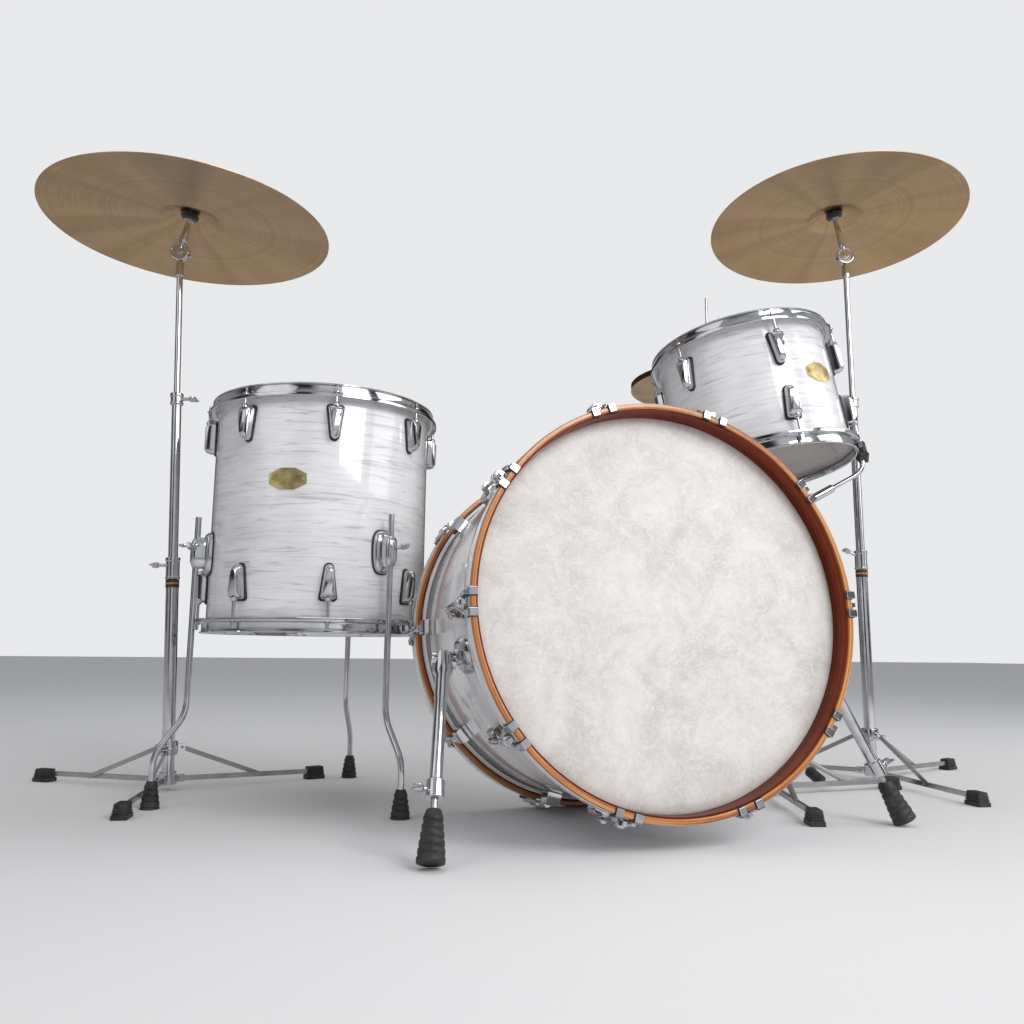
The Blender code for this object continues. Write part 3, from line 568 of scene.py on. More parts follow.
def cymbal_bronze():
    """Lathed bronze: fine rings about the piece's Z axis, with softer streaks of painted radial sheen and blotches
    across them.
    """
    made = Finish("cymbal_bronze", (0.62, 0.46, 0.28), 1.0, 0.32, Anisotropic=0.55)
    source = made.add("TexCoord")
    split = made.add("SeparateXYZ")
    made.link(source.outputs["Object"], split.inputs["Vector"])
    squared = made.maths("ADD", made.maths("POWER", split.outputs["X"], 2.0),
            made.maths("POWER", split.outputs["Y"], 2.0))
    radius = made.maths("SQRT", squared)
    angle = made.maths("ARCTAN2", split.outputs["Y"], split.outputs["X"])
    on_radius = made.add("CombineXYZ")
    made.link(radius, on_radius.inputs["X"])
    rings = made.noise(on_radius.outputs["Vector"], 420.0, 3.0, 0.7)
    bands = made.noise(on_radius.outputs["Vector"], 60.0, 2.0, 0.5)
    direction = made.add("CombineXYZ")
    made.link(made.maths("COSINE", angle), direction.inputs["X"])
    made.link(made.maths("SINE", angle), direction.inputs["Y"])
    # Streaks out from the centre: a painted radial sheen in the colour, which also varies the roughness.
    painted_sheen_rays = made.noise(direction.outputs["Vector"], 2.6, 3.0, 0.55)
    blotches = made.noise(source.outputs["Object"], 9.0, 4.0, 0.6, 0.4)
    base = made.ramp(rings, (0.30, (0.44, 0.285, 0.150)), (0.50, (0.58, 0.395, 0.225)),
            (0.72, (0.74, 0.54, 0.33)))
    base = made.mix(0.6, base, made.ramp(bands, (0.35, (0.86, 0.83, 0.80)), (0.65, (1.0, 1.0, 1.0))),
            "MULTIPLY")
    # Painted radial sheen: the streaks lighten and darken the bronze's colour.
    base = made.mix(0.45, base, made.ramp(painted_sheen_rays, (0.36, (0.66, 0.61, 0.56)), (0.62, (1.10, 1.10, 1.08))),
            "MULTIPLY")
    base = made.mix(0.5, base, made.ramp(blotches, (0.30, (0.84, 0.80, 0.76)), (0.65, (1.0, 1.0, 1.0))),
            "MULTIPLY")
    made.colour(base)
    rough = made.maths("ADD", made.span(rings, 0.26, 0.38), made.span(painted_sheen_rays, -0.06, 0.10, 0.3, 0.7))
    made.roughness(rough)
    tangent = made.add("Tangent", direction_type="RADIAL", axis="Z")
    made.link(tangent.outputs["Tangent"], made.shader.inputs["Tangent"])
    made.bump(rings, 0.16, 0.0003)
    return made.material


PEARL = pearl_wrap()
MAPLE = plies("maple", (0.22, 0.055, 0.012), (0.56, 0.21, 0.048), (0.80, 0.43, 0.15))
# Maple for the hoops' inner faces: its dark red-brown is partly painted shade of the recess inside the hoop.
RECESS_SHADED_MAPLE = plies("maple_painted_recess_shade", (0.090, 0.010, 0.002), (0.165, 0.022, 0.004), (0.235, 0.038, 0.008), 0.0,
        0.15)
FIBRE = fibre_head()
COATED = coated_head()
FILM = film_head()
CHROME = chrome()
STEEL = satin_steel()
RUBBER = rubber()
BLACK_FELT = felt("black_felt", (0.008, 0.008, 0.009), (0.030, 0.030, 0.032))
PALE_FELT = felt("pale_felt", (0.42, 0.38, 0.33), (0.62, 0.58, 0.52))
BADGE = badge_metal()
ORANGE = enamel("orange_stripe", (0.75, 0.24, 0.04))
BRONZE = cymbal_bronze()


# ---------------------------------------------------------------- small repeated fittings

def drop_outline(width, length, pinch=0.55, count=36):
    """A drop: its wide end at +Z, its narrow end at -Z."""
    points = []
    for n in range(count):
        angle = math.tau * n / count
        z = math.sin(angle)
        narrow = pinch + (1.0 - pinch) * (z + 1.0) / 2.0
        y = math.copysign(abs(math.cos(angle)) ** 0.62, math.cos(angle)) * narrow
        z = math.copysign(abs(z) ** 0.72, z)
        points.append((y * width / 2, z * length / 2))
    return points


def shield_outline(width, length, narrow=0.56, corner=0.20, count=7):
    """A flat wide end at +Z with rounded corners, tapering to a round end at -Z."""
    half = width / 2
    turn = width * corner
    low = half * narrow
    points = []
    for n in range(count):
        angle = math.radians(90 - 90 * n / (count - 1))
        points.append((half - turn + turn * math.cos(angle), length / 2 - turn + turn * math.sin(angle)))
    for n in range(2 * count):
        angle = math.radians(-180 * n / (2 * count - 1))
        points.append((low * math.cos(angle), low - length / 2 + low * math.sin(angle)))
    for n in range(count):
        angle = math.radians(180 - 90 * n / (count - 1))
        points.append((turn - half + turn * math.cos(angle), length / 2 - turn + turn * math.sin(angle)))
    return points


def lug_mesh():
    """A shield-shaped lug casing with a bevelled flat face, its wide end at +Z, standing out along +X."""
    outline = shield_outline(LUG_WIDTH, LUG_LENGTH)
    rise = LUG_DEPTH
    casing = lofted(outline, [(0.0012, 1.0), (0.45 * rise, 0.98), (0.80 * rise, 0.90), (rise, 0.66)])
    mouth = turned([(0, 0), (0.0058, 0), (0.0058, 0.006), (0.0044, 0.0074), (0, 0.0074)], 24)
    mouth.transform(Matrix.Translation((ROD_CIRCLE, 0, LUG_LENGTH / 2 - 0.004)))
    return joined([casing, mouth])


def gasket_mesh():
    return lofted(shield_outline(LUG_WIDTH * 1.20, LUG_LENGTH * 1.09),
            [(0.0002, 1.0), (0.0026, 1.0), (0.0032, 0.97)])


def tension_rod_mesh(length):
    """A rod down from z = 0, with a washer and a square key head above it."""
    rod = turned([(0, 0.001), (0.0027, 0.001), (0.0027, -length), (0, -length)], 16)
    washer = turned([(0, 0.0002), (0.0060, 0.0002), (0.0060, 0.0018), (0.0048, 0.0026), (0, 0.0026)], 24)
    head = block((-0.0030, -0.0030, 0.0024), (0.0030, 0.0030, 0.0125), None, 0.86)
    return joined([rod, washer, head])


def wing_bolt_mesh(shaft=0.020, span=0.036):
    """A bolt along +Z with two flat rounded wings at its end."""
    wings = []
    outline = [(around(30 * n).x, around(30 * n).y) for n in range(12)]
    for side in (-1, 1):
        blade = lofted([(y * 0.0085, z * 0.0068) for y, z in outline],
                [(-0.0016, 0.8), (-0.0008, 1.0), (0.0008, 1.0), (0.0016, 0.8)])
        blade.transform(Matrix.Translation((0, side * (span / 2 - 0.008), shaft + 0.005)))
        wings.append(blade)
    outline = [(0, 0), (0.0034, 0), (0.0034, shaft - 0.004), (0.0062, shaft - 0.002),
            (0.0055, shaft + 0.008)]
    return joined([turned(outline + [(0.003, shaft + 0.0105), (0, shaft + 0.0105)], 24), *wings])


def rubber_foot_mesh(length, width, height):
    """A ribbed rubber shoe with a flat sole at z = 0."""
    layers = [block((-length * 0.3, -width / 2, 0.0), (length * 0.7, width / 2, height * 0.30))]
    for n in range(4):
        low = height * (0.30 + 0.14 * n)
        inset = 0.0010 + 0.0006 * n
        top = low + height * 0.095
        layers.append(block((-length * 0.3 + inset, -width / 2 + inset, low + height * 0.045),
                            (length * 0.7 - inset, width / 2 - inset, top + height * 0.045)))
    core = block((-length * 0.26, -width * 0.40, height * 0.25),
            (length * 0.66, width * 0.40, height * 0.93), None, 0.9)
    return joined(layers + [core])


# ---------------------------------------------------------------- drums

def rounded_ring(inner, outer, high, low, edge):
    """A ring's section with rounded corners."""
    corners = ((outer, high, 1, 1), (outer, low, 1, -1), (inner, low, -1, -1), (inner, high, -1, 1))
    points = []
    for number, (radius, height, out, up) in enumerate(corners):
        for step in range(4):
            angle = math.radians(90 * (1 - number) - 30 * step)
            centre = (radius - out * edge, height - up * edge)
            points.append((centre[0] + edge * math.cos(angle), centre[1] + edge * math.sin(angle)))
    return points


def head_section(inside, outside, top, skirt, collar):
    """A film that rises over the bearing edge and turns down into its flesh hoop."""
    return [
        (0.0, top),
        (inside - collar, top),
        (inside - collar * 0.35, top - 0.0003),
        (inside, top - 0.0016),
        (outside - 0.0016, top - 0.0020),
        (outside, top - 0.0032),
        (outside, top - skirt),
        (inside, top - skirt),
        (inside, top - 0.0030),
        (inside - collar, top - HEAD_FILM),
        (0.0, top - HEAD_FILM),
    ]


def flipped(profile, depth):
    return [(radius, -depth - height) for radius, height in profile]


def bass_frame():
    level = Vector((math.sin(BASS_TURN), -math.cos(BASS_TURN), 0.0))
    front = level * math.cos(BASS_RISE) + Vector((0.0, 0.0, math.sin(BASS_RISE)))
    return axes(BASS_FRONT, front, (math.cos(BASS_TURN), math.sin(BASS_TURN), 0.0))


def bass_drum():
    at = bass_frame()
    edge = BASS_HEAD_RECESS + HEAD_FILM + 0.0003
    shell = rounded_ring(BASS_RADIUS - SHELL_WALL, BASS_RADIUS, -edge, edge - BASS_DEPTH, 0.0012)
    piece("bass_shell", turned(shell, ROUND), KIT, PEARL, at, replaces=["bass_drum_shell"])
    head = head_section(BASS_RADIUS + 0.0008, BASS_RADIUS + 0.0054, -BASS_HEAD_RECESS, 0.015, 0.012)
    hoop = rounded_ring(BASS_HOOP_INNER, BASS_HOOP_RADIUS, 0.0, -BASS_HOOP_WIDTH, 0.0016)
    # A thin sheet over the hoop's inner face, its maple darkened with painted shade of the recess.
    inner_face_shade = rounded_ring(BASS_RADIUS + 0.0058, BASS_HOOP_INNER + 0.0004, -0.0030, -BASS_HOOP_WIDTH, 0.0006)
    margin = 0.0048
    inlay = rounded_ring(BASS_HOOP_RADIUS - 0.001, BASS_HOOP_RADIUS + 0.0004, -margin,
            margin - BASS_HOOP_WIDTH, 0.0003)
    ends = (("front", FIBRE, lambda profile: profile),
            ("rear", COATED, lambda profile: flipped(profile, BASS_DEPTH)))
    for end, film, mirror in ends:
        piece(f"bass_{end}_skin", turned(mirror(head), ROUND), KIT, film, at,
              replaces=[f"bass_drum_{end}_head"])
        piece(f"bass_{end}_hoop", turned(mirror(hoop), ROUND), KIT, MAPLE, at,
              replaces=[f"bass_drum_{end}_hoop"])
        piece(f"bass_{end}_hoop_inner_face_shade", turned(mirror(inner_face_shade), ROUND), KIT, RECESS_SHADED_MAPLE, at)
        piece(f"bass_{end}_hoop_inlay", turned(mirror(inlay), ROUND), KIT, PEARL, at)
    bass_fittings(at)
    for side in SPUR_FEET:
        spur(side, at)


def claw_mesh(out):
    """Two fingers over the hoop, joined by arms to a boss. X is outwards and Z towards the front."""
    top = BASS_HOOP_RADIUS
    parts = []
    for side in (-1, 1):
        low, high = sorted((side * 0.0088, side * 0.0205))
        parts.append(block((top - 0.0095, low, 0.0009), (top + 0.0044, high, 0.0038)))
        parts.append(block((top + 0.0010, low, -0.0170), (top + 0.0044, high, 0.0038)))
        route = [((top + 0.0042, side * 0.0150, -0.010), 0.0042),
                ((top + out, side * 0.0040, -0.034), 0.0050)]
        parts.append(swept(route, 20))
    boss = turned([(0, -0.042), (0.0062, -0.042), (0.0075, -0.040), (0.0075, -0.024), (0.0066, -0.022),
            (0, -0.022)], 28)
    boss.transform(Matrix.Translation((top + out, 0, 0)))
    return joined(parts + [boss])


def claw_pad_mesh():
    """The thin dark liners between the fingers and the hoop."""
    top = BASS_HOOP_RADIUS
    parts = []
    for side in (-1, 1):
        low, high = sorted((side * 0.0078, side * 0.0214))
        parts.append(block((top + 0.0001, low, -0.0180), (top + 0.0010, high, 0.0008)))
        parts.append(block((top - 0.0106, low, 0.0001), (top + 0.0010, high, 0.0009)))
    return joined(parts)


def bass_rod_mesh(length, out):
    """A tension rod and its key head, along -Z from the claw's boss."""
    rod = turned([(0, 0.002), (0.0030, 0.002), (0.0030, -length), (0, -length)], 16)
    cap = turned([(0, 0.001), (0.0070, 0.001), (0.0078, 0.002), (0.0078, 0.0045), (0.0060, 0.006),
            (0, 0.006)], 24)
    key = block((-0.0036, -0.0036, 0.0055), (0.0036, 0.0036, 0.0150), None, 0.88)
    made = joined([rod, cap, key])
    made.transform(Matrix.Translation((BASS_HOOP_RADIUS + out, 0, -0.022)))
    return made


def box_lug_mesh(out):
    """A bass drum lug: a small bevelled box across the shell, and the nut that takes the rod."""
    outline = [(0.0125, 0.0150), (-0.0125, 0.0150), (-0.0125, -0.0150), (0.0125, -0.0150)]
    casing = lofted(outline, [(0.0, 1.0), (0.0150, 0.98), (0.0200, 0.86), (0.0215, 0.70)])
    nut = turned([(0, -0.004), (0.0062, -0.004), (0.0062, 0.012), (0, 0.012)], 24)
    nut.transform(Matrix.Translation((BASS_HOOP_RADIUS + out - BASS_RADIUS, 0, 0.014)))
    made = joined([casing, nut])
    made.transform(Matrix.Translation((BASS_RADIUS + 0.0004, 0, 0)))
    return made


def bass_fittings(at):
    pad = claw_pad_mesh()
    turn_over = Matrix.Translation((0, 0, -BASS_DEPTH)) @ Matrix.Rotation(math.pi, 4, "X")
    ends = (("front", BASS_LUG_BACK[0], 0.0080, Matrix.Identity(4)),
            ("rear", BASS_DEPTH - BASS_LUG_BACK[1], 0.0030, turn_over))
    for end, back, out, over in ends:
        claw = claw_mesh(out)
        lug = box_lug_mesh(out)
        rod = bass_rod_mesh(back - 0.040, out)
        for number in range(BASS_LUGS):
            angle = math.radians(BASS_LUG_PHASE + 360.0 * number / BASS_LUGS)
            turn = Matrix.Rotation(angle if end == "front" else -angle, 4, "Z")
            spot = at @ over @ turn
            label = f"bass_{end}_{{}}_{number + 1:02d}"
            piece(label.format("claw"), claw, KIT, CHROME, spot, 0.0008)
            piece(label.format("claw_pad"), pad, KIT, RUBBER, spot)
            piece(label.format("rod"), rod, KIT, CHROME, spot)
            piece(label.format("lug"), lug, KIT, CHROME, spot @ Matrix.Translation((0, 0, -back)),
                    0.0005)


def spur(side, drum_at):
    """A folding spur with its bracket, tube, rod, wing bolts and rubber foot."""
    angle = -math.degrees(SPUR_DROP) if side == "right" else 180 + math.degrees(SPUR_DROP)
    outward = around(angle)
    pivot = drum_at @ (outward * (BASS_RADIUS + SPUR_STAND_OFF) - Vector((0, 0, SPUR_BACK)))
    down = (SPUR_FEET[side] - pivot).normalized()
    hinge = (Vector((1, 0, 0)) - down * down.x).normalized()
    bracket_at = drum_at @ axes(-Vector((0, 0, SPUR_BACK)), outward, (0, 0, 1))
    inner = BASS_RADIUS + 0.0006
    outline = [(around(15 * n).x * 0.028, around(15 * n).y * 0.038) for n in range(24)]
    plate = lofted(outline,
            [(inner - 0.002, 1.0), (inner + 0.006, 1.0), (inner + 0.011, 0.86), (inner + 0.013, 0.6)])
    plate.transform(Matrix.Rotation(-math.pi / 2, 4, "Y"))
    boss_top = BASS_RADIUS + 0.0215
    boss = turned([(0, inner), (0.0150, inner), (0.0120, boss_top - 0.002), (0.0100, boss_top),
            (0, boss_top)])
    arm = swept([((-0.004, 0, boss_top - 0.006), 0.0075), ((0.020, 0, boss_top - 0.006), 0.0075)], 24)
    bar = swept([((-0.030, 0, boss_top - 0.003), 0.0055), ((0.004, 0, boss_top - 0.003), 0.0055)], 20)
    piece(f"{side}_spur_mount", joined([plate, boss, arm, bar]), KIT, CHROME, bracket_at, 0.0006,
          replaces=[f"{side}_spur_bracket"])

    at = axes(pivot, down, hinge)
    tube = [
        (0.0, -0.012), (0.0120, -0.012), (0.0145, -0.010), (0.0145, 0.020), (0.0105, 0.026),
        (0.0100, 0.060),
        (SPUR_TUBE_RADIUS, 0.062),
        (SPUR_TUBE_RADIUS, SPUR_TUBE_LENGTH - 0.026), (0.0125, SPUR_TUBE_LENGTH - 0.024),
        (0.0125, SPUR_TUBE_LENGTH - 0.001), (0.0115, SPUR_TUBE_LENGTH), (0.0056, SPUR_TUBE_LENGTH),
        (0.0056, 0.050), (0.0, 0.050),
    ]
    bolt = wing_bolt_mesh(0.020, 0.032)
    sideways = math.pi / 2 if side == "right" else -math.pi / 2
    bolt.transform(Matrix.Translation((0, 0, SPUR_TUBE_LENGTH - 0.012)) @ Matrix.Rotation(sideways, 4, "Y"))
    pin = turned([(0, -0.019), (0.0105, -0.019), (0.0105, 0.019), (0, 0.019)], 32,
            Matrix.Rotation(math.pi / 2, 4, "Y"))
    sleeve = joined([turned(tube), bolt, pin])
    sleeve.transform(at)
    piece(f"{side}_spur_sleeve", sleeve, f"{side}_spur_tube", CHROME, None, 0.0004,
          replaces=[f"{side}_spur_tube"])

    lean = math.sqrt(1 - down.z ** 2)
    end = (pivot.z - SPUR_FOOT_RADIUS * lean) / -down.z
    rod = turned([(0, 0.135), (SPUR_ROD_RADIUS, 0.135), (SPUR_ROD_RADIUS, end - 0.02), (0, end - 0.02)],
            TUBE, at)
    foot = [(0.0, end - 0.068), (0.0100, end - 0.068), (0.0112, end - 0.065)]
    for ring in range(5):
        low = end - 0.060 + 0.0105 * ring
        out = 0.0135 + 0.0012 * ring
        foot += [(out - 0.0010, low), (out, low + 0.0015), (out, low + 0.0065),
                (out - 0.0010, low + 0.0080)]
    foot += [(SPUR_FOOT_RADIUS, end - 0.006), (SPUR_FOOT_RADIUS, end - 0.0005), (0.0170, end), (0.0, end)]
    piece(f"{side}_spur_leg", rod, f"{side}_spur_rod", STEEL, replaces=[f"{side}_spur_rod"])
    piece(f"{side}_spur_foot", turned(foot, TUBE, at), f"{side}_spur_rod", RUBBER)


def hoop_section(radius):
    """A pressed-steel hoop: rolled lip, upright wall, and the flange that the rods pull on."""
    steps = (
        (4.6, -1.4), (5.0, -0.4), (6.0, 0.0), (9.6, 0.0), (10.6, -0.6), (10.8, -1.6), (10.2, -2.5),
        (8.2, -3.0),
        (7.1, -4.2), (7.0, -15.2), (7.8, -17.4), (9.6, -18.2), (16.4, -18.5), (17.7, -19.4), (18.0, -20.8),
        (18.0, -25.0), (17.2, -26.0), (16.1, -25.4), (15.8, -21.8), (14.8, -20.9), (6.4, -20.4),
        (5.0, -19.6),
        (4.6, -18.2),
    )
    return [(radius + out / 1000.0, height / 1000.0) for out, height in steps]


def tom(prefix, body, at, radius, depth, lugs, upper, lower, lower_finish):
    """A tom: shell, heads, hoops, lugs and rods. upper and lower are each end's first lug angles."""
    edge = TOM_HEAD_RECESS + HEAD_FILM + 0.0003
    shell = rounded_ring(radius - SHELL_WALL, radius, -edge, edge - depth, 0.0012)
    piece(f"{prefix}_wrap", turned(shell, ROUND), body, PEARL, at, replaces=[f"{prefix}_shell"])
    head = head_section(radius + 0.0008, radius + HOOP_WALL_INNER - 0.0003, -TOM_HEAD_RECESS, HEAD_SKIRT,
            0.009)
    hoop = hoop_section(radius)
    top_skin = turned(head, ROUND)
    low_skin = turned(flipped(head, depth), ROUND)
    piece(f"{prefix}_top_skin", top_skin, body, COATED, at, replaces=[f"{prefix}_batter_head"])
    piece(f"{prefix}_low_skin", low_skin, body, lower_finish, at,
            replaces=[f"{prefix}_resonant_head"])
    piece(f"{prefix}_top_rim", turned(hoop, ROUND), body, CHROME, at,
            replaces=[f"{prefix}_top_hoop"])
    piece(f"{prefix}_low_rim", turned(flipped(hoop, depth), ROUND), body, CHROME, at,
          replaces=[f"{prefix}_bottom_hoop"])
    lug = lug_mesh()
    gasket = gasket_mesh()
    over = Matrix.Translation((0, 0, -depth)) @ Matrix.Rotation(math.pi, 4, "X")
    drops = LUG_MIDDLE[prefix]
    for end, first, flip, lug_drop in (("top", upper, Matrix.Identity(4), drops[0]),
            ("low", lower, over, drops[1])):
        rod = tension_rod_mesh(lug_drop - LUG_LENGTH / 2 - 0.012)
        for number in range(lugs):
            angle = math.radians(first + 360.0 * number / lugs)
            spot = at @ flip @ Matrix.Rotation(angle if end == "top" else -angle, 4, "Z")
            seat = spot @ Matrix.Translation((radius, 0, -lug_drop))
            label = f"{prefix}_{end}_{{}}_{number + 1}"
            piece(label.format("lug"), lug, body, CHROME, seat, 0.0003, sharp=50.0)
            piece(label.format("gasket"), gasket, body, RUBBER, seat)
            piece(label.format("rod"), rod, body, CHROME,
                  spot @ Matrix.Translation((radius + ROD_CIRCLE, 0, -0.0185)), 0.0003)


LUG_MIDDLE = {"floor_tom": (0.070, 0.088), "rack_tom": (0.080, 0.084)}


def badge(prefix, body, at, radius, angle, height):
    """A blank octagonal plate with a raised border and a rivet at each end, curved to the shell."""
    outline = [(0.034, 0.009), (0.013, 0.0195), (-0.013, 0.0195), (-0.034, 0.009)]
    outline += [(-y, -z) for y, z in outline]
    plate = []
    for scale, low, high in ((1.0, 0.0002, 0.0012), (0.90, 0.0010, 0.0018)):
        work = bmesh.new()
        rings = []
        for lift in (low, high):
            ring = []
            for (y0, z0), (y1, z1) in zip(outline, outline[1:] + outline[:1]):
                for step in range(6):
                    y = (y0 + (y1 - y0) * step / 6) * scale
                    z = (z0 + (z1 - z0) * step / 6) * scale
                    bend = y / radius
                    out = radius + lift
                    ring.append(work.verts.new((out * math.cos(bend), out * math.sin(bend), z)))
            rings.append(ring)
        count = len(rings[0])
        for n in range(count):
            after = (n + 1) % count
            work.faces.new((rings[0][n], rings[0][after], rings[1][after], rings[1][n]))
        for number, ring in enumerate(rings):
            halves = count // 2
            for n in range(halves):
                # Strips across the plate keep it curved with the shell.
                pair = (ring[n], ring[n + 1], ring[(count - n - 1) % count], ring[(count - n) % count])
                if len(set(pair)) >= 3:
                    unique = list(dict.fromkeys(pair))
                    if work.faces.get(unique) is None:
                        work.faces.new(unique)
        plate.append(to_mesh(work))
    for side in (-1, 1):
        bend = side * 0.0275 / radius
        rivet = turned([(0, 0), (0.0022, 0), (0.0019, 0.0014), (0, 0.0019)], 20)
        rivet.transform(axes((radius * math.cos(bend) + 0.0012, radius * math.sin(bend), 0),
                (math.cos(bend), math.sin(bend), 0), (0, 0, 1)))
        plate.append(rivet)
    spot = at @ Matrix.Rotation(math.radians(angle), 4, "Z") @ Matrix.Translation((0, 0, height))
    piece(f"{prefix}_badge", joined(plate), body, BADGE, spot)


def floor_tom():
    at = Matrix.Translation(FLOOR_TOM_TOP)
    tom("floor_tom", KIT, at, FLOOR_TOM_RADIUS, FLOOR_TOM_DEPTH, 8, 0.0, 0.0, FILM)
    badge("floor_tom", KIT, at, FLOOR_TOM_RADIUS, 248.0, -0.174)
    for number, angle in enumerate(LEG_ANGLES, start=1):
        floor_tom_leg(number, angle)


def floor_tom_leg(number, angle):
    """A bent leg in its clamp, with a wing bolt and a ribbed rubber foot."""
    foot = Vector((FLOOR_TOM_TOP.x, FLOOR_TOM_TOP.y, 0.0))
    at = axes(foot + around(angle, LEG_CIRCLE), (0, 0, 1), around(angle))
    body = f"floor_tom_leg_{number}"
    inner = FLOOR_TOM_RADIUS - LEG_CIRCLE
    middle = (BRACKET_LOW + BRACKET_HIGH) / 2
    outline = drop_outline(0.044, BRACKET_HIGH - BRACKET_LOW, 0.86)
    base = lofted(outline, [(0.0012, 1.0), (0.007, 0.99), (0.0105, 0.90), (0.0125, 0.72)])
    base.transform(Matrix.Translation((inner, 0, middle)))
    clamp = lofted(drop_outline(0.024, 0.058, 0.95),
            [(0.0, 1.0), (0.021, 1.0), (0.0265, 0.9), (0.030, 0.6)])
    clamp.transform(Matrix.Translation((inner + 0.006, 0, middle)))
    pad = lofted(drop_outline(0.048, BRACKET_HIGH - BRACKET_LOW + 0.004, 0.86),
            [(0.0002, 1.0), (0.0018, 1.0)])
    pad.transform(Matrix.Translation((inner, 0, middle)))
    bolt = wing_bolt_mesh(0.022, 0.038)
    bolt.transform(Matrix.Translation((0.002, 0, middle + 0.004)) @ axes((0, 0, 0), (0.55, 0.80, 0.25),
            (0, 0, 1)))
    piece(f"floor_tom_clamp_{number}", joined([base, clamp]), KIT, CHROME, at, 0.0003, sharp=50.0,
          replaces=[f"floor_tom_bracket_{number}"])
    piece(f"floor_tom_clamp_bolt_{number}", bolt, KIT, CHROME, at)
    piece(f"floor_tom_clamp_pad_{number}", pad, KIT, RUBBER, at)
    route = [(LEG_SPREAD, 0, 0.010), (LEG_SPREAD, 0, LEG_BEND_FOOT), (0, 0, LEG_BEND_TOP), (0, 0, LEG_TOP)]
    piece(f"floor_tom_rod_{number}", swept(bent(route, LEG_RADIUS, 0.022), 24), body, CHROME, at,
            0.0008,
          replaces=[body])
    shoe = [(0.0, 0.0), (0.0160, 0.0), (0.0170, 0.0010)]
    for ring in range(4):
        low = 0.0045 + 0.0095 * ring
        out = 0.0160 - 0.0015 * ring
        shoe += [(out - 0.0012, low), (out, low + 0.0012), (out - 0.0003, low + 0.0065),
                (out - 0.0016, low + 0.0080)]
    shoe += [(0.0088, LEG_FOOT_HEIGHT - 0.002), (0.0078, LEG_FOOT_HEIGHT), (0.0, LEG_FOOT_HEIGHT)]
    piece(f"floor_tom_foot_{number}", turned(shoe), body, RUBBER,
            at @ Matrix.Translation((LEG_SPREAD, 0, 0)))


def rack_tom():
    at = axes(RACK_TOM_TOP, RACK_TOM_AXIS, (1, 0, 0))
    tom("rack_tom", "rack_tom", at, RACK_TOM_RADIUS, RACK_TOM_DEPTH, 6, 18.4, 18.4, FILM)
    badge("rack_tom", "rack_tom", at, RACK_TOM_RADIUS, 288.0, -0.1265)
    pivot_at = Matrix.Translation(TOM_PIVOT)
    into = pivot_at.inverted() @ at @ Matrix.Translation((0, 0, -RACK_TOM_DEPTH))
    hub_profile = [(0, -0.012), (0.020, -0.012), (0.024, -0.008), (0.024, 0.008), (0.020, 0.012),
            (0, 0.012)]
    hub = turned(hub_profile, TUBE, into @ Matrix.Translation((0, 0, -HUB_DROP)))
    metal = [hub]
    tips = []
    for angle in BASKET_ANGLES:
        route = [
            around(angle, 0.014, -HUB_DROP),
            around(angle, BASKET_REACH - 0.008, -0.026),
            around(angle, BASKET_REACH, 0.030),
        ]
        metal.append(swept(bent(route, 0.0045, 0.022), 20, into))
        inner = around(angle, 0.014, -HUB_DROP)
        outer = around(angle, BASKET_REACH - 0.008, -0.026)
        thick = [(inner.lerp(outer, 0.05), 0.0082), (inner.lerp(outer, 0.60), 0.0082),
                (inner.lerp(outer, 0.62), 0.0066)]
        metal.append(swept(thick, 24, into))
        sleeve = turned([(0, -0.004), (0.0072, -0.004), (0.0080, -0.001), (0.0080, 0.030), (0.0062, 0.034),
                (0, 0.034)], 28)
        sleeve.transform(into @ axes(around(angle, BASKET_REACH, 0.0), (0, 0, 1), around(angle)))
        square = axes(around(angle, BASKET_REACH - 0.002, 0.004), around(angle),
                (0, 0, 1)) @ Matrix.Rotation(math.pi / 4, 4, "Z")
        tips += [sleeve, block((-0.0100, -0.0100, -0.0100), (0.0100, 0.0100, 0.0080), into @ square)]
    neck = swept([((0, 0, 0), 0.009), (into @ Vector((0, 0, -HUB_DROP)), 0.009)], 32)
    piece("basket_frame", joined(metal + [neck]), "rack_tom", CHROME, pivot_at, 0.0006,
          replaces=["tom_stand_basket"])
    piece("basket_grips", joined(tips), "rack_tom", RUBBER, pivot_at, 0.0006)
    tom_stand()


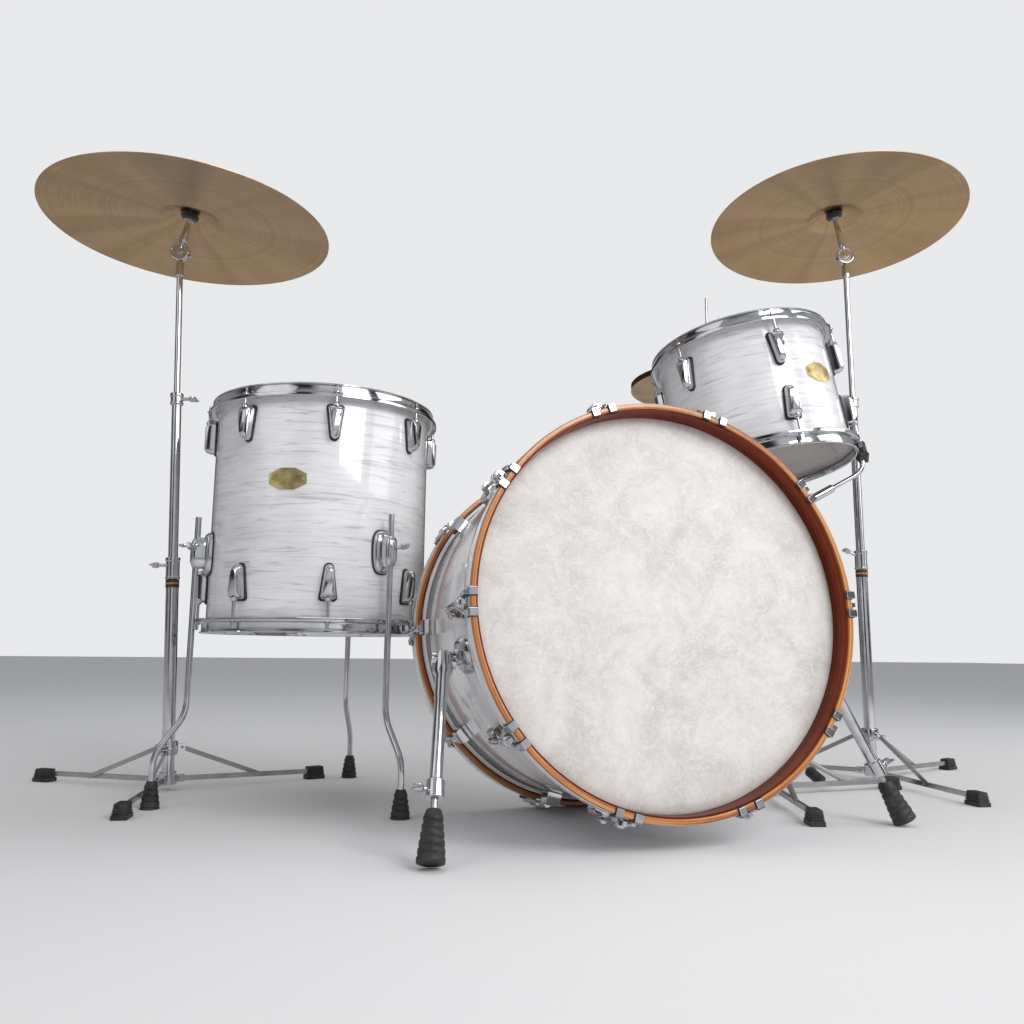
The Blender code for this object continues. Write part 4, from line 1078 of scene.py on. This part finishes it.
def tom_stand():
    at = Matrix.Translation(TOM_STAND_FOOT)
    outer = TUBE_RADII["lower"]
    bore = BORE_RADII["lower"]
    collar = TOM_STAND_COLLAR
    top = TOM_STAND_TUBE_TOP
    outline = [
        (0.0, 0.030), (bore, 0.030), (bore, top), (outer + 0.004, top), (outer + 0.004, top - 0.030),
        (outer, top - 0.032), (outer, collar + 0.014), (0.0185, collar + 0.013), (0.0185, collar - 0.013),
        (outer, collar - 0.014), (outer, 0.034), (0.0185, 0.033), (0.0185, 0.008), (0.0, 0.008),
    ]
    metal = []
    shoes = []
    for angle, reach in TOM_STAND_LEGS:
        leg_at = axes((0, 0, 0), (0, 0, 1), around(angle))
        metal.append(block((0.011, -0.0035, 0.0130), (reach, 0.0035, 0.0230), leg_at))
        shoe = rubber_foot_mesh(*FOOT_SIZE)
        shoe.transform(axes(around(angle, reach), (0, 0, 1), around(angle)))
        shoes.append(shoe)
        pin = around(angle, LEG_PIVOT_RADIUS + STRUT_PIN, 0.0190)
        metal.append(swept([(around(angle, 0.0150, collar), 0.0048), (pin, 0.0048)], 20))
    bolt = wing_bolt_mesh()
    bolt.transform(Matrix.Translation((0, 0, top - 0.015)) @ axes((0, 0, 0), (1, -0.3, 0),
            (0, 0, 1)) @ Matrix.Translation((0, 0, outer)))
    piece("tom_stand_tube", joined([turned(outline), bolt]), KIT, CHROME, at, 0.0006,
          replaces=["tom_stand_base"])
    piece("tom_stand_legs", joined(metal), KIT, STEEL, at, 0.0008)
    piece("tom_stand_shoes", joined(shoes), KIT, RUBBER, at, 0.0010)
    radius = TUBE_RADII["middle"]
    post = [(0.0, 0.290), (radius, 0.290), (radius, TOM_POST_TOP), (0.0, TOM_POST_TOP)]
    knuckle = turned([(0, -0.0135), (0.0115, -0.0135), (0.0115, -0.002), (0, -0.002)], TUBE,
                     Matrix.Translation((0, 0, TOM_POST_TOP)))
    piece("tom_stand_rod", joined([turned(post), knuckle]), "tom_post", CHROME, at, 0.0005,
          replaces=["tom_stand_post"])


# ---------------------------------------------------------------- cymbals and stands

def cymbal_height(across, radius, bell_radius, bell, bow):
    """Height of the underside above the rim's plane: a shallow bow that rises into a bell."""
    if across <= bell_radius:
        return bow * 0.93 + (bell + bow * 0.07) * (1 - (across / bell_radius) ** 2.3) ** 0.95
    part = (across - bell_radius) / (radius - bell_radius)
    return bow * 0.93 * (1 - part ** 1.8)


def cymbal_section(radius, bell_radius, bell, bow, up=1.0):
    stops = [CYMBAL_HOLE + (bell_radius - CYMBAL_HOLE) * n / 12 for n in range(13)]
    stops += [bell_radius + (radius - bell_radius) * n / 22 for n in range(1, 23)]
    under = [(across, cymbal_height(across, radius, bell_radius, bell, bow)) for across in stops]
    top = [(across, height + CYMBAL_METAL) for across, height in reversed(under)]
    return [(across, height * up) for across, height in under + top]


def tube_section(name, bottom, top, collar, extra):
    outer = TUBE_RADII[name]
    bore = BORE_RADII[name]
    wide = outer + extra
    return [
        (bore, top), (wide - 0.001, top), (wide, top - 0.001), (wide, top - 0.007),
        (wide - 0.0012, top - 0.0082),
        (wide - 0.0012, top - collar + 0.005), (wide, top - collar + 0.0038), (wide, top - collar),
        (outer, top - collar - 0.0015), (outer, bottom), (bore, bottom),
    ]


def lug_plates(angles, height, reach_from):
    plates = []
    for angle in angles:
        at = axes((0, 0, height), (0, 0, 1), around(angle))
        plates.append(block((reach_from, -0.0014, -0.0075), (LEG_PIVOT_RADIUS + 0.006, 0.0014, 0.0075), at))
    return plates


def rivet_mesh(low, high, radius=0.0036):
    """A pin along Y with domed heads."""
    outline = [(0, low - 0.0014), (radius * 0.7, low - 0.0012), (radius, low), (radius * 0.6, low + 0.0001)]
    outline += [(radius * 0.6, high - 0.0001), (radius, high), (radius * 0.7, high + 0.0012),
            (0, high + 0.0014)]
    return turned(outline, 20, Matrix.Rotation(-math.pi / 2, 4, "X"))


def side_bolt(height, out, direction, base_at):
    """A wing bolt that stands out of a stand's collar, in the stand's own frame."""
    bolt = wing_bolt_mesh()
    level = base_at.to_3x3().inverted() @ Vector(direction)
    bolt.transform(axes((0, 0, height), level, (0, 0, 1)) @ Matrix.Translation((0, 0, out - 0.002)))
    return bolt


def cymbal_stand(side):
    numbers = STANDS[side]
    at = axes(numbers["foot"], numbers["lean"], (1, 0, 0))
    lower_top, middle_top, upper_top = numbers["tops"]
    angles = [angle for angle, _ in numbers["legs"]]
    sideways = (0.9565, -0.2917, 0.0) if side == "left" else (-0.9565, 0.2917, 0.0)

    bore = BORE_RADII["lower"]
    lower = tube_section("lower", 0.030, lower_top, 0.044, 0.0022)
    outline = [(0.0, 0.030), (bore, 0.030)] + lower[:9]
    outline += [(TUBE_RADII["lower"], 0.034), (HUB_RADIUS, 0.034), (HUB_RADIUS, 0.010), (0.0, 0.010)]
    away = (-0.9, 0.27, 0.45) if side == "right" else (-0.9565, 0.2917, 0.0)
    bolt = side_bolt(lower_top - 0.016, TUBE_RADII["lower"] + 0.002, away, at)
    metal = [turned(outline), bolt, *lug_plates(angles, LEG_PIVOT_HEIGHT, HUB_RADIUS - 0.004)]
    piece(f"{side}_stand_lower", joined(metal), KIT, CHROME, at, 0.0005,
          replaces=[f"{side}_stand_lower_tube"])
    band = rounded_ring(TUBE_RADII["lower"] - 0.001, TUBE_RADII["lower"] + 0.0009, lower_top - 0.0455,
            lower_top - 0.062, 0.0003)
    stripe = rounded_ring(TUBE_RADII["lower"], TUBE_RADII["lower"] + 0.0012, lower_top - 0.0520,
            lower_top - 0.0555, 0.0002)
    piece(f"{side}_stand_band", turned(band), KIT, RUBBER, at)
    piece(f"{side}_stand_stripe", turned(stripe), KIT, ORANGE, at)

    insert = 0.105
    middle = turned(tube_section("middle", lower_top - insert, middle_top, 0.024, 0.004))
    bolt = side_bolt(middle_top - 0.012, TUBE_RADII["middle"] + 0.004, sideways, at)
    piece(f"{side}_stand_middle", joined([middle, bolt]), f"{side}_stand_middle_tube", CHROME, at,
            0.0005,
          replaces=[f"{side}_stand_middle_tube"])

    ratchet = upper_top + TILTER_RISE
    level = at.to_3x3().inverted() @ FACING
    disc_at = axes((0, 0, ratchet), level, (0, 0, 1))
    disc = turned(ratchet_section(), TUBE, disc_at)
    neck = disc_at @ Vector((0, 0, 0.0041))
    rod = [
        ((0, 0, middle_top - insert), TUBE_RADII["upper"]),
        ((0, 0, upper_top - 0.034), TUBE_RADII["upper"]),
        ((0, 0, upper_top - 0.032), 0.0088),
        ((0, 0, upper_top - 0.008), 0.0088),
        ((neck.x * 0.4, neck.y * 0.4, upper_top - 0.001), 0.0080),
        ((neck.x, neck.y, ratchet - RATCHET_RADIUS + 0.001), 0.0036),
        ((neck.x, neck.y, ratchet - 0.006), 0.0036),
    ]
    wing = wing_bolt_mesh(0.014, 0.030)
    wing.transform(disc_at @ Matrix.Translation((0, 0, 0.006)))
    piece(f"{side}_stand_upper", joined([swept(rod, TUBE), disc, wing]), f"{side}_stand_upper_tube",
            CHROME,
          at, 0.0004, replaces=[f"{side}_stand_upper_tube"])

    collar_bore = TUBE_RADII["lower"] + 0.0005
    ring = turned(rounded_ring(collar_bore, 0.0180, 0.013, -0.013, 0.0015))
    collar_at = at @ Matrix.Translation((0, 0, numbers["collar"]))
    collar_bolt = side_bolt(0.0, 0.0180, FACING * -1.0, at)
    piece(f"{side}_stand_slider", joined([ring, collar_bolt, *lug_plates(angles, 0.0, 0.0155)]),
            f"{side}_stand_collar",
          CHROME, collar_at, 0.0005, replaces=[f"{side}_stand_collar"])
    for number, (angle, reach) in enumerate(numbers["legs"], start=1):
        leg_at = folding_leg(side, number, at, angle, reach)
        strut(side, number, at, angle, numbers["collar"], leg_at)
    tilter(side, at @ Vector((0, 0, ratchet)))


def ratchet_section():
    """Half of a ratchet: a toothed-looking stepped disc with a raised ring on its outer face."""
    half = 0.0075
    return [
        (0, 0.0003), (RATCHET_RADIUS, 0.0003), (RATCHET_RADIUS, half - 0.0022),
        (RATCHET_RADIUS - 0.0012, half - 0.0010),
        (RATCHET_RADIUS - 0.0026, half - 0.0008), (RATCHET_RADIUS - 0.0034, half - 0.0028),
        (0.0068, half - 0.0028),
        (0.0060, half), (0, half),
    ]


def folding_leg(side, number, base_at, angle, reach):
    name = f"{side}_stand_leg_{number}"
    pivot = base_at @ around(angle, LEG_PIVOT_RADIUS, LEG_PIVOT_HEIGHT)
    outward = base_at.to_3x3() @ around(angle)
    level_reach = Vector((outward.x, outward.y, 0.0)).normalized() * (reach - LEG_PIVOT_RADIUS)
    end = Vector((pivot.x, pivot.y, FOOT_AXIS_HEIGHT)) + level_reach
    along = (end - pivot).normalized()
    sideways = (base_at.to_3x3() @ Vector((0, 0, 1))).cross(along).normalized()
    at = axes(pivot, along.cross(sideways), along)
    length = (end - pivot).length
    bar = block((-0.007, LEG_PLANE[0], -LEG_HALF_HEIGHT), (length, LEG_PLANE[1], LEG_HALF_HEIGHT))
    hinge = rivet_mesh(LEG_PLANE[0], 0.0032)
    pin = rivet_mesh(LEG_PLANE[0], STRUT_PLANE[1])
    pin.transform(Matrix.Translation((STRUT_PIN, 0, 0)))
    piece(f"{name}_bar", joined([bar, hinge, pin]), name, STEEL, at, 0.0008, replaces=[name])
    shoe = rubber_foot_mesh(*FOOT_SIZE)
    shoe.transform(axes(Vector((end.x, end.y, 0.0)), (0, 0, 1), along))
    piece(f"{name}_shoe", shoe, name, RUBBER, None, 0.0010)
    return at


def strut(side, number, base_at, angle, collar, leg_at):
    name = f"{side}_stand_strut_{number}"
    pivot = base_at @ around(angle, LEG_PIVOT_RADIUS, collar)
    pin = leg_at @ Vector((STRUT_PIN, 0, 0))
    along = (pin - pivot).normalized()
    sideways = leg_at.to_3x3() @ Vector((0, 1, 0))
    at = axes(pivot, along.cross(sideways), along)
    length = (pin - pivot).length
    bar = block((-0.005, STRUT_PLANE[0], -0.0045), (length + 0.005, STRUT_PLANE[1], 0.0045))
    hinge = rivet_mesh(-0.0018, STRUT_PLANE[1])
    piece(f"{name}_bar", joined([bar, hinge]), name, STEEL, at, 0.0008, replaces=[name])


def tilter(side, ratchet):
    """The tilter's upper half, the felts and wing nut on its mast, and the cymbal."""
    numbers = STANDS[side]
    normal = numbers["normal"].normalized()
    seat = numbers["cymbal"] + normal * (CYMBAL_BOW_HEIGHT + CYMBAL_BELL_HEIGHT)
    up = (seat - ratchet).normalized()
    length = (seat - ratchet).length
    name = f"{side}_stand_tilter"
    at = Matrix.Translation(ratchet)
    disc_at = axes((0, 0, 0), -FACING, (0, 0, 1))
    disc = turned(ratchet_section(), TUBE, disc_at)
    start = disc_at @ Vector((0, 0, 0.0041))
    stem = swept(
        [
            (start + up * 0.006, 0.0036),
            (start + up * (RATCHET_RADIUS - 0.001), 0.0036),
            (start * 0.4 + up * (RATCHET_RADIUS + 0.003), 0.0085),
            (up * (RATCHET_RADIUS + 0.012), 0.0084),
            (up * (length - 0.026), 0.0058),
            (up * (length - 0.018), 0.0056),
        ],
        TUBE,
    )
    seat_at = axes((0, 0, 0), up, FACING)
    mast = [
        (0.0, length - 0.03), (0.0034, length - 0.03), (0.0034, length + 0.028), (0.0026, length + 0.030),
        (0.0, length + 0.030),
    ]
    wing = wing_bolt_mesh(0.006, 0.034)
    wing.transform(seat_at @ Matrix.Translation((0, 0, length + 0.011)))
    upper = joined([disc, stem, turned(mast, TUBE, seat_at)])
    piece(f"{name}_half", upper, name, CHROME, at, 0.0004, replaces=[name])
    piece(f"{name}_wing_nut", wing, name, CHROME, at)
    cup = [
        (0.0034, length - 0.0135), (0.0165, length - 0.0135), (0.0190, length - 0.0115),
        (0.0192, length - 0.0060),
        (0.0180, length - 0.0034), (0.0034, length - 0.0030),
    ]
    pale = [
        (0.0034, length - 0.0200), (0.0105, length - 0.0200), (0.0118, length - 0.0188),
        (0.0118, length - 0.0150),
        (0.0108, length - 0.0138), (0.0034, length - 0.0138),
    ]
    top = [
        (0.0034, length + 0.0020), (0.0150, length + 0.0020), (0.0160, length + 0.0040),
        (0.0145, length + 0.0100),
        (0.0034, length + 0.0105),
    ]
    piece(f"{name}_cup_felt", turned(cup, TUBE, seat_at), name, BLACK_FELT, at, sharp=60.0)
    piece(f"{name}_washer", turned(pale, TUBE, seat_at), name, STEEL, at)
    piece(f"{name}_top_felt", turned(top, TUBE, seat_at), name, PALE_FELT, at, sharp=60.0)
    section = cymbal_section(CYMBAL_RADIUS, CYMBAL_BELL_RADIUS, CYMBAL_BELL_HEIGHT, CYMBAL_BOW_HEIGHT)
    seated = [(across, height - CYMBAL_BOW_HEIGHT - CYMBAL_BELL_HEIGHT) for across, height in section]
    piece(f"{side}_cymbal_disc", turned(seated, 192), f"{side}_cymbal", BRONZE,
            axes(seat, normal, (1, 0, 0)),
          replaces=[f"{side}_cymbal"])


# ---------------------------------------------------------------- hi-hat

def hi_hat():
    at = Matrix.Translation(HAT_FOOT)
    drop = HAT_BELL_HEIGHT + HAT_BOW_HEIGHT + CYMBAL_METAL
    seat = HAT_LOWER_RIM - drop - 0.0006
    bore = 0.0048
    leg_top = HAT_LEG_TOP
    outline = [
        (bore, seat), (0.0170, seat), (0.0180, seat - 0.001), (0.0180, seat - 0.004),
        (0.0095, seat - 0.010),
        (0.0095, 0.520), (0.0165, 0.519), (0.0165, 0.490), (0.0127, 0.489), (0.0127, leg_top + 0.016),
        (0.0190, leg_top + 0.015), (0.0190, leg_top - 0.015), (0.0127, leg_top - 0.016), (0.0127, 0.140),
        (0.0220, 0.139), (0.0220, 0.118), (bore + 0.004, 0.118), (bore + 0.004, 0.150), (bore, 0.152),
    ]
    bolts = [side_bolt(0.505, 0.0165, (1, -0.3, 0), at), side_bolt(leg_top, 0.0190, (-0.3, -1, 0), at)]
    metal = []
    shoes = []
    for angle, reach in HAT_LEGS:
        metal.append(swept([(around(angle, 0.0165, leg_top), 0.0060),
                (around(angle, reach - 0.026, 0.0300), 0.0060)], 24))
        shoes.append(swept([(around(angle, reach - 0.032, 0.0340), 0.0085),
                (around(angle, reach - 0.028, 0.0308), 0.0118),
                            (around(angle, reach, 0.0120), 0.0118)], 24))
    pedal_at = axes((0, 0, 0), (0, 0, 1), around(PEDAL_DIRECTION))
    for side in (-1, 1):
        route = [(0.0, side * 0.0180, 0.128), (0.0, side * 0.0520, 0.075), (0.0, side * 0.0520, 0.0052),
                (PEDAL_HEEL, side * 0.0520, 0.0052)]
        metal.append(swept(bent(route, 0.0045, 0.014), 20, pedal_at))
    metal.append(block((PEDAL_HEEL - 0.006, -0.0560, 0.0008), (PEDAL_HEEL + 0.050, 0.0560, 0.0100),
            pedal_at))
    piece("hihat_tube", joined([turned(outline), *bolts]), KIT, CHROME, at, 0.0005,
            replaces=["hihat_base"])
    piece("hihat_legs", joined(metal), KIT, CHROME, at, 0.0006)
    piece("hihat_shoes", joined(shoes), KIT, RUBBER, at, 0.0008)
    lower = cymbal_section(HAT_RADIUS, HAT_BELL_RADIUS, HAT_BELL_HEIGHT, HAT_BOW_HEIGHT, up=-1.0)
    upper = cymbal_section(HAT_RADIUS, HAT_BELL_RADIUS, HAT_BELL_HEIGHT, HAT_BOW_HEIGHT)
    rim = at @ Matrix.Translation((0, 0, HAT_LOWER_RIM))
    piece("hihat_lower_disc", turned(lower, ROUND), KIT, BRONZE, rim,
            replaces=["hihat_bottom_cymbal"])
    piece("hihat_upper_disc", turned(upper, ROUND), "hihat_rod", BRONZE,
          rim @ Matrix.Translation((0, 0, HAT_OPENING)), replaces=["hihat_top_cymbal"])
    bell = HAT_LOWER_RIM + HAT_OPENING + drop
    rod = [
        (0.0, HAT_ROD_BOTTOM), (0.0070, HAT_ROD_BOTTOM), (0.0070, HAT_ROD_BOTTOM + 0.018),
        (0.0030, HAT_ROD_BOTTOM + 0.020),
        (0.0030, bell + 0.011), (0.0085, bell + 0.0112), (0.0085, bell + 0.014), (0.0070, bell + 0.0145),
        (0.0070, bell + 0.030), (0.0030, bell + 0.031), (0.0030, HAT_ROD_TOP - 0.001),
        (0.0020, HAT_ROD_TOP), (0.0, HAT_ROD_TOP),
    ]
    clutch = wing_bolt_mesh(0.012, 0.026)
    clutch.transform(Matrix.Translation((0, 0, bell + 0.023)) @ Matrix.Rotation(math.pi / 2, 4, "Y"))
    piece("hihat_rod_and_clutch", joined([turned(rod, 32), clutch]), "hihat_rod", CHROME, at,
            replaces=["hihat_pull_rod"])
    wool = [(0.0031, bell + 0.0002), (0.0165, bell + 0.0002), (0.0175, bell + 0.002),
            (0.0165, bell + 0.0105), (0.0031, bell + 0.011)]
    piece("hihat_clutch_felt", turned(wool), "hihat_rod", PALE_FELT, at, sharp=60.0)
    footboard()


def footboard():
    """The pedal board with its raised grip bars, its toe plate and the heel plate's hinge."""
    heel = HAT_FOOT + around(PEDAL_DIRECTION, PEDAL_HEEL - 0.012, 0.016)
    towards = -around(PEDAL_DIRECTION) * math.cos(PEDAL_SLOPE) + Vector((0, 0, math.sin(PEDAL_SLOPE)))
    sideways = Vector((0, 0, 1)).cross(towards).normalized()
    at = axes(heel, towards.cross(sideways), towards)
    board = block((0.0, -0.040, -0.003), (PEDAL_LENGTH, 0.040, 0.003))
    toe = block((PEDAL_LENGTH - 0.004, -0.026, -0.003), (PEDAL_LENGTH + 0.055, 0.026, 0.003))
    bars = [block((0.030 + 0.021 * n, -0.031, 0.0028),
            (0.038 + 0.021 * n, 0.031, 0.0046)) for n in range(9)]
    knuckle = turned([(0, -0.040), (0.0048, -0.040), (0.0048, 0.040), (0, 0.040)], 28,
            Matrix.Rotation(math.pi / 2, 4, "X"))
    piece("hihat_pedal_board", joined([board, toe, knuckle]), "hihat_footboard", STEEL, at,
            0.0008,
          replaces=["hihat_footboard"])
    piece("hihat_pedal_grips", joined(bars), "hihat_footboard", RUBBER, at, 0.0006)


# ---------------------------------------------------------------- light, floor and camera

def surroundings():
    """A pale backdrop, and for the metal to mirror a dim room with bright panels in front and overhead."""
    world = bpy.data.worlds.new("studio")
    world.use_nodes = True
    tree = world.node_tree

    def ramp(source, stops):
        made = tree.nodes.new("ShaderNodeValToRGB")
        elements = made.color_ramp.elements
        while len(elements) < len(stops):
            elements.new(0.5)
        for element, (place, level) in zip(elements, stops):
            element.position = place
            element.color = (level, level, level * 1.03, 1.0)
        tree.links.new(source, made.inputs["Fac"])
        return made.outputs["Color"]

    def blend(kind, factor, first, second):
        made = tree.nodes.new("ShaderNodeMix")
        made.data_type = "RGBA"
        made.blend_type = kind
        for key, value in ((0, factor), (6, first), (7, second)):
            if isinstance(value, (float, tuple)):
                made.inputs[key].default_value = value
            else:
                tree.links.new(value, made.inputs[key])
        return made.outputs[2]

    source = tree.nodes.new("ShaderNodeTexCoord")
    split = tree.nodes.new("ShaderNodeSeparateXYZ")
    tree.links.new(source.outputs["Generated"], split.inputs["Vector"])
    turn = tree.nodes.new("ShaderNodeMath")
    turn.operation = "ARCTAN2"
    tree.links.new(split.outputs["Y"], turn.inputs[0])
    tree.links.new(split.outputs["X"], turn.inputs[1])
    share = tree.nodes.new("ShaderNodeMapRange")
    share.inputs["From Min"].default_value = -math.pi
    share.inputs["From Max"].default_value = math.pi
    tree.links.new(turn.outputs[0], share.inputs["Value"])
    panels = ramp(share.outputs["Result"], (
        (0.00, 0.05), (0.06, 0.45), (0.12, 0.50), (0.15, 0.03), (0.19, 0.04), (0.22, 0.75), (0.33, 0.65),
        (0.37, 0.03), (0.44, 0.03), (0.48, 0.55), (0.55, 0.40), (0.59, 0.03), (0.80, 0.03), (0.86, 0.35),
        (0.93, 0.30), (0.97, 0.04),
    ))
    rise = tree.nodes.new("ShaderNodeMapRange")
    rise.inputs["From Min"].default_value = -1.0
    rise.inputs["From Max"].default_value = 1.0
    tree.links.new(split.outputs["Z"], rise.inputs["Value"])
    high = ramp(rise.outputs["Result"], ((0.0, 0.0), (0.70, 0.0), (0.82, 1.0), (1.0, 1.0)))
    room = blend("MIX", high, panels, (0.50, 0.51, 0.52, 1.0))
    path = tree.nodes.new("ShaderNodeLightPath")
    shown = blend("MIX", path.outputs["Is Camera Ray"], room, (0.90, 0.91, 0.93, 1.0))
    back = tree.nodes["Background"]
    tree.links.new(shown, back.inputs["Color"])
    back.inputs["Strength"].default_value = 0.9
    bpy.context.scene.world = world
    bpy.context.scene.view_settings.view_transform = "Standard"


def studio():
    mesh = bpy.data.meshes.new("floor")
    size = 30.0
    mesh.from_pydata([(-size, -size, 0), (size, -size, 0), (size, size, 0), (-size, size, 0)], [],
            [(0, 1, 2, 3)])
    floor = bpy.data.objects.new("floor", mesh)
    bpy.context.collection.objects.link(floor)
    made = Finish("studio_floor", (0.86, 0.86, 0.87), 0.0, 0.75)
    mesh.materials.append(made.material)
    surroundings()
    lights = (
        ("key", (1.0, -3.0, 2.3), (-0.1, 0.0, 0.5), 1.6, 50.0),
        ("fill", (3.0, -1.8, 1.8), (0.1, 0.0, 0.5), 2.0, 30.0),
        ("side", (-3.0, -1.6, 2.2), (0.0, 0.0, 0.5), 2.0, 8.0),
        ("top", (0.0, 0.4, 3.8), (0.0, 0.0, 0.3), 2.6, 24.0),
    )
    for name, place, target, size, power in lights:
        data = bpy.data.lights.new(name, "AREA")
        data.energy = power
        data.size = size
        lamp = bpy.data.objects.new(name, data)
        bpy.context.collection.objects.link(lamp)
        toward = Vector(place) - Vector(target)
        lamp.matrix_world = axes(place, toward, (1, 0, 0))


def camera():
    data = bpy.data.cameras.new("camera")
    data.lens = CAMERA_LENS
    data.sensor_width = 36.0
    made = bpy.data.objects.new("camera", data)
    bpy.context.collection.objects.link(made)
    level = FACING.normalized()
    look = level * math.cos(CAMERA_UP) + Vector((0, 0, math.sin(CAMERA_UP)))
    made.matrix_world = axes(CAMERA_PLACE, -look, (level.y, -level.x, 0)) @ Matrix.Rotation(CAMERA_ROLL, 4,
            "Z")
    bpy.context.scene.camera = made


bass_drum()
floor_tom()
rack_tom()
for stand_side in STANDS:
    cymbal_stand(stand_side)
hi_hat()
studio()
camera()
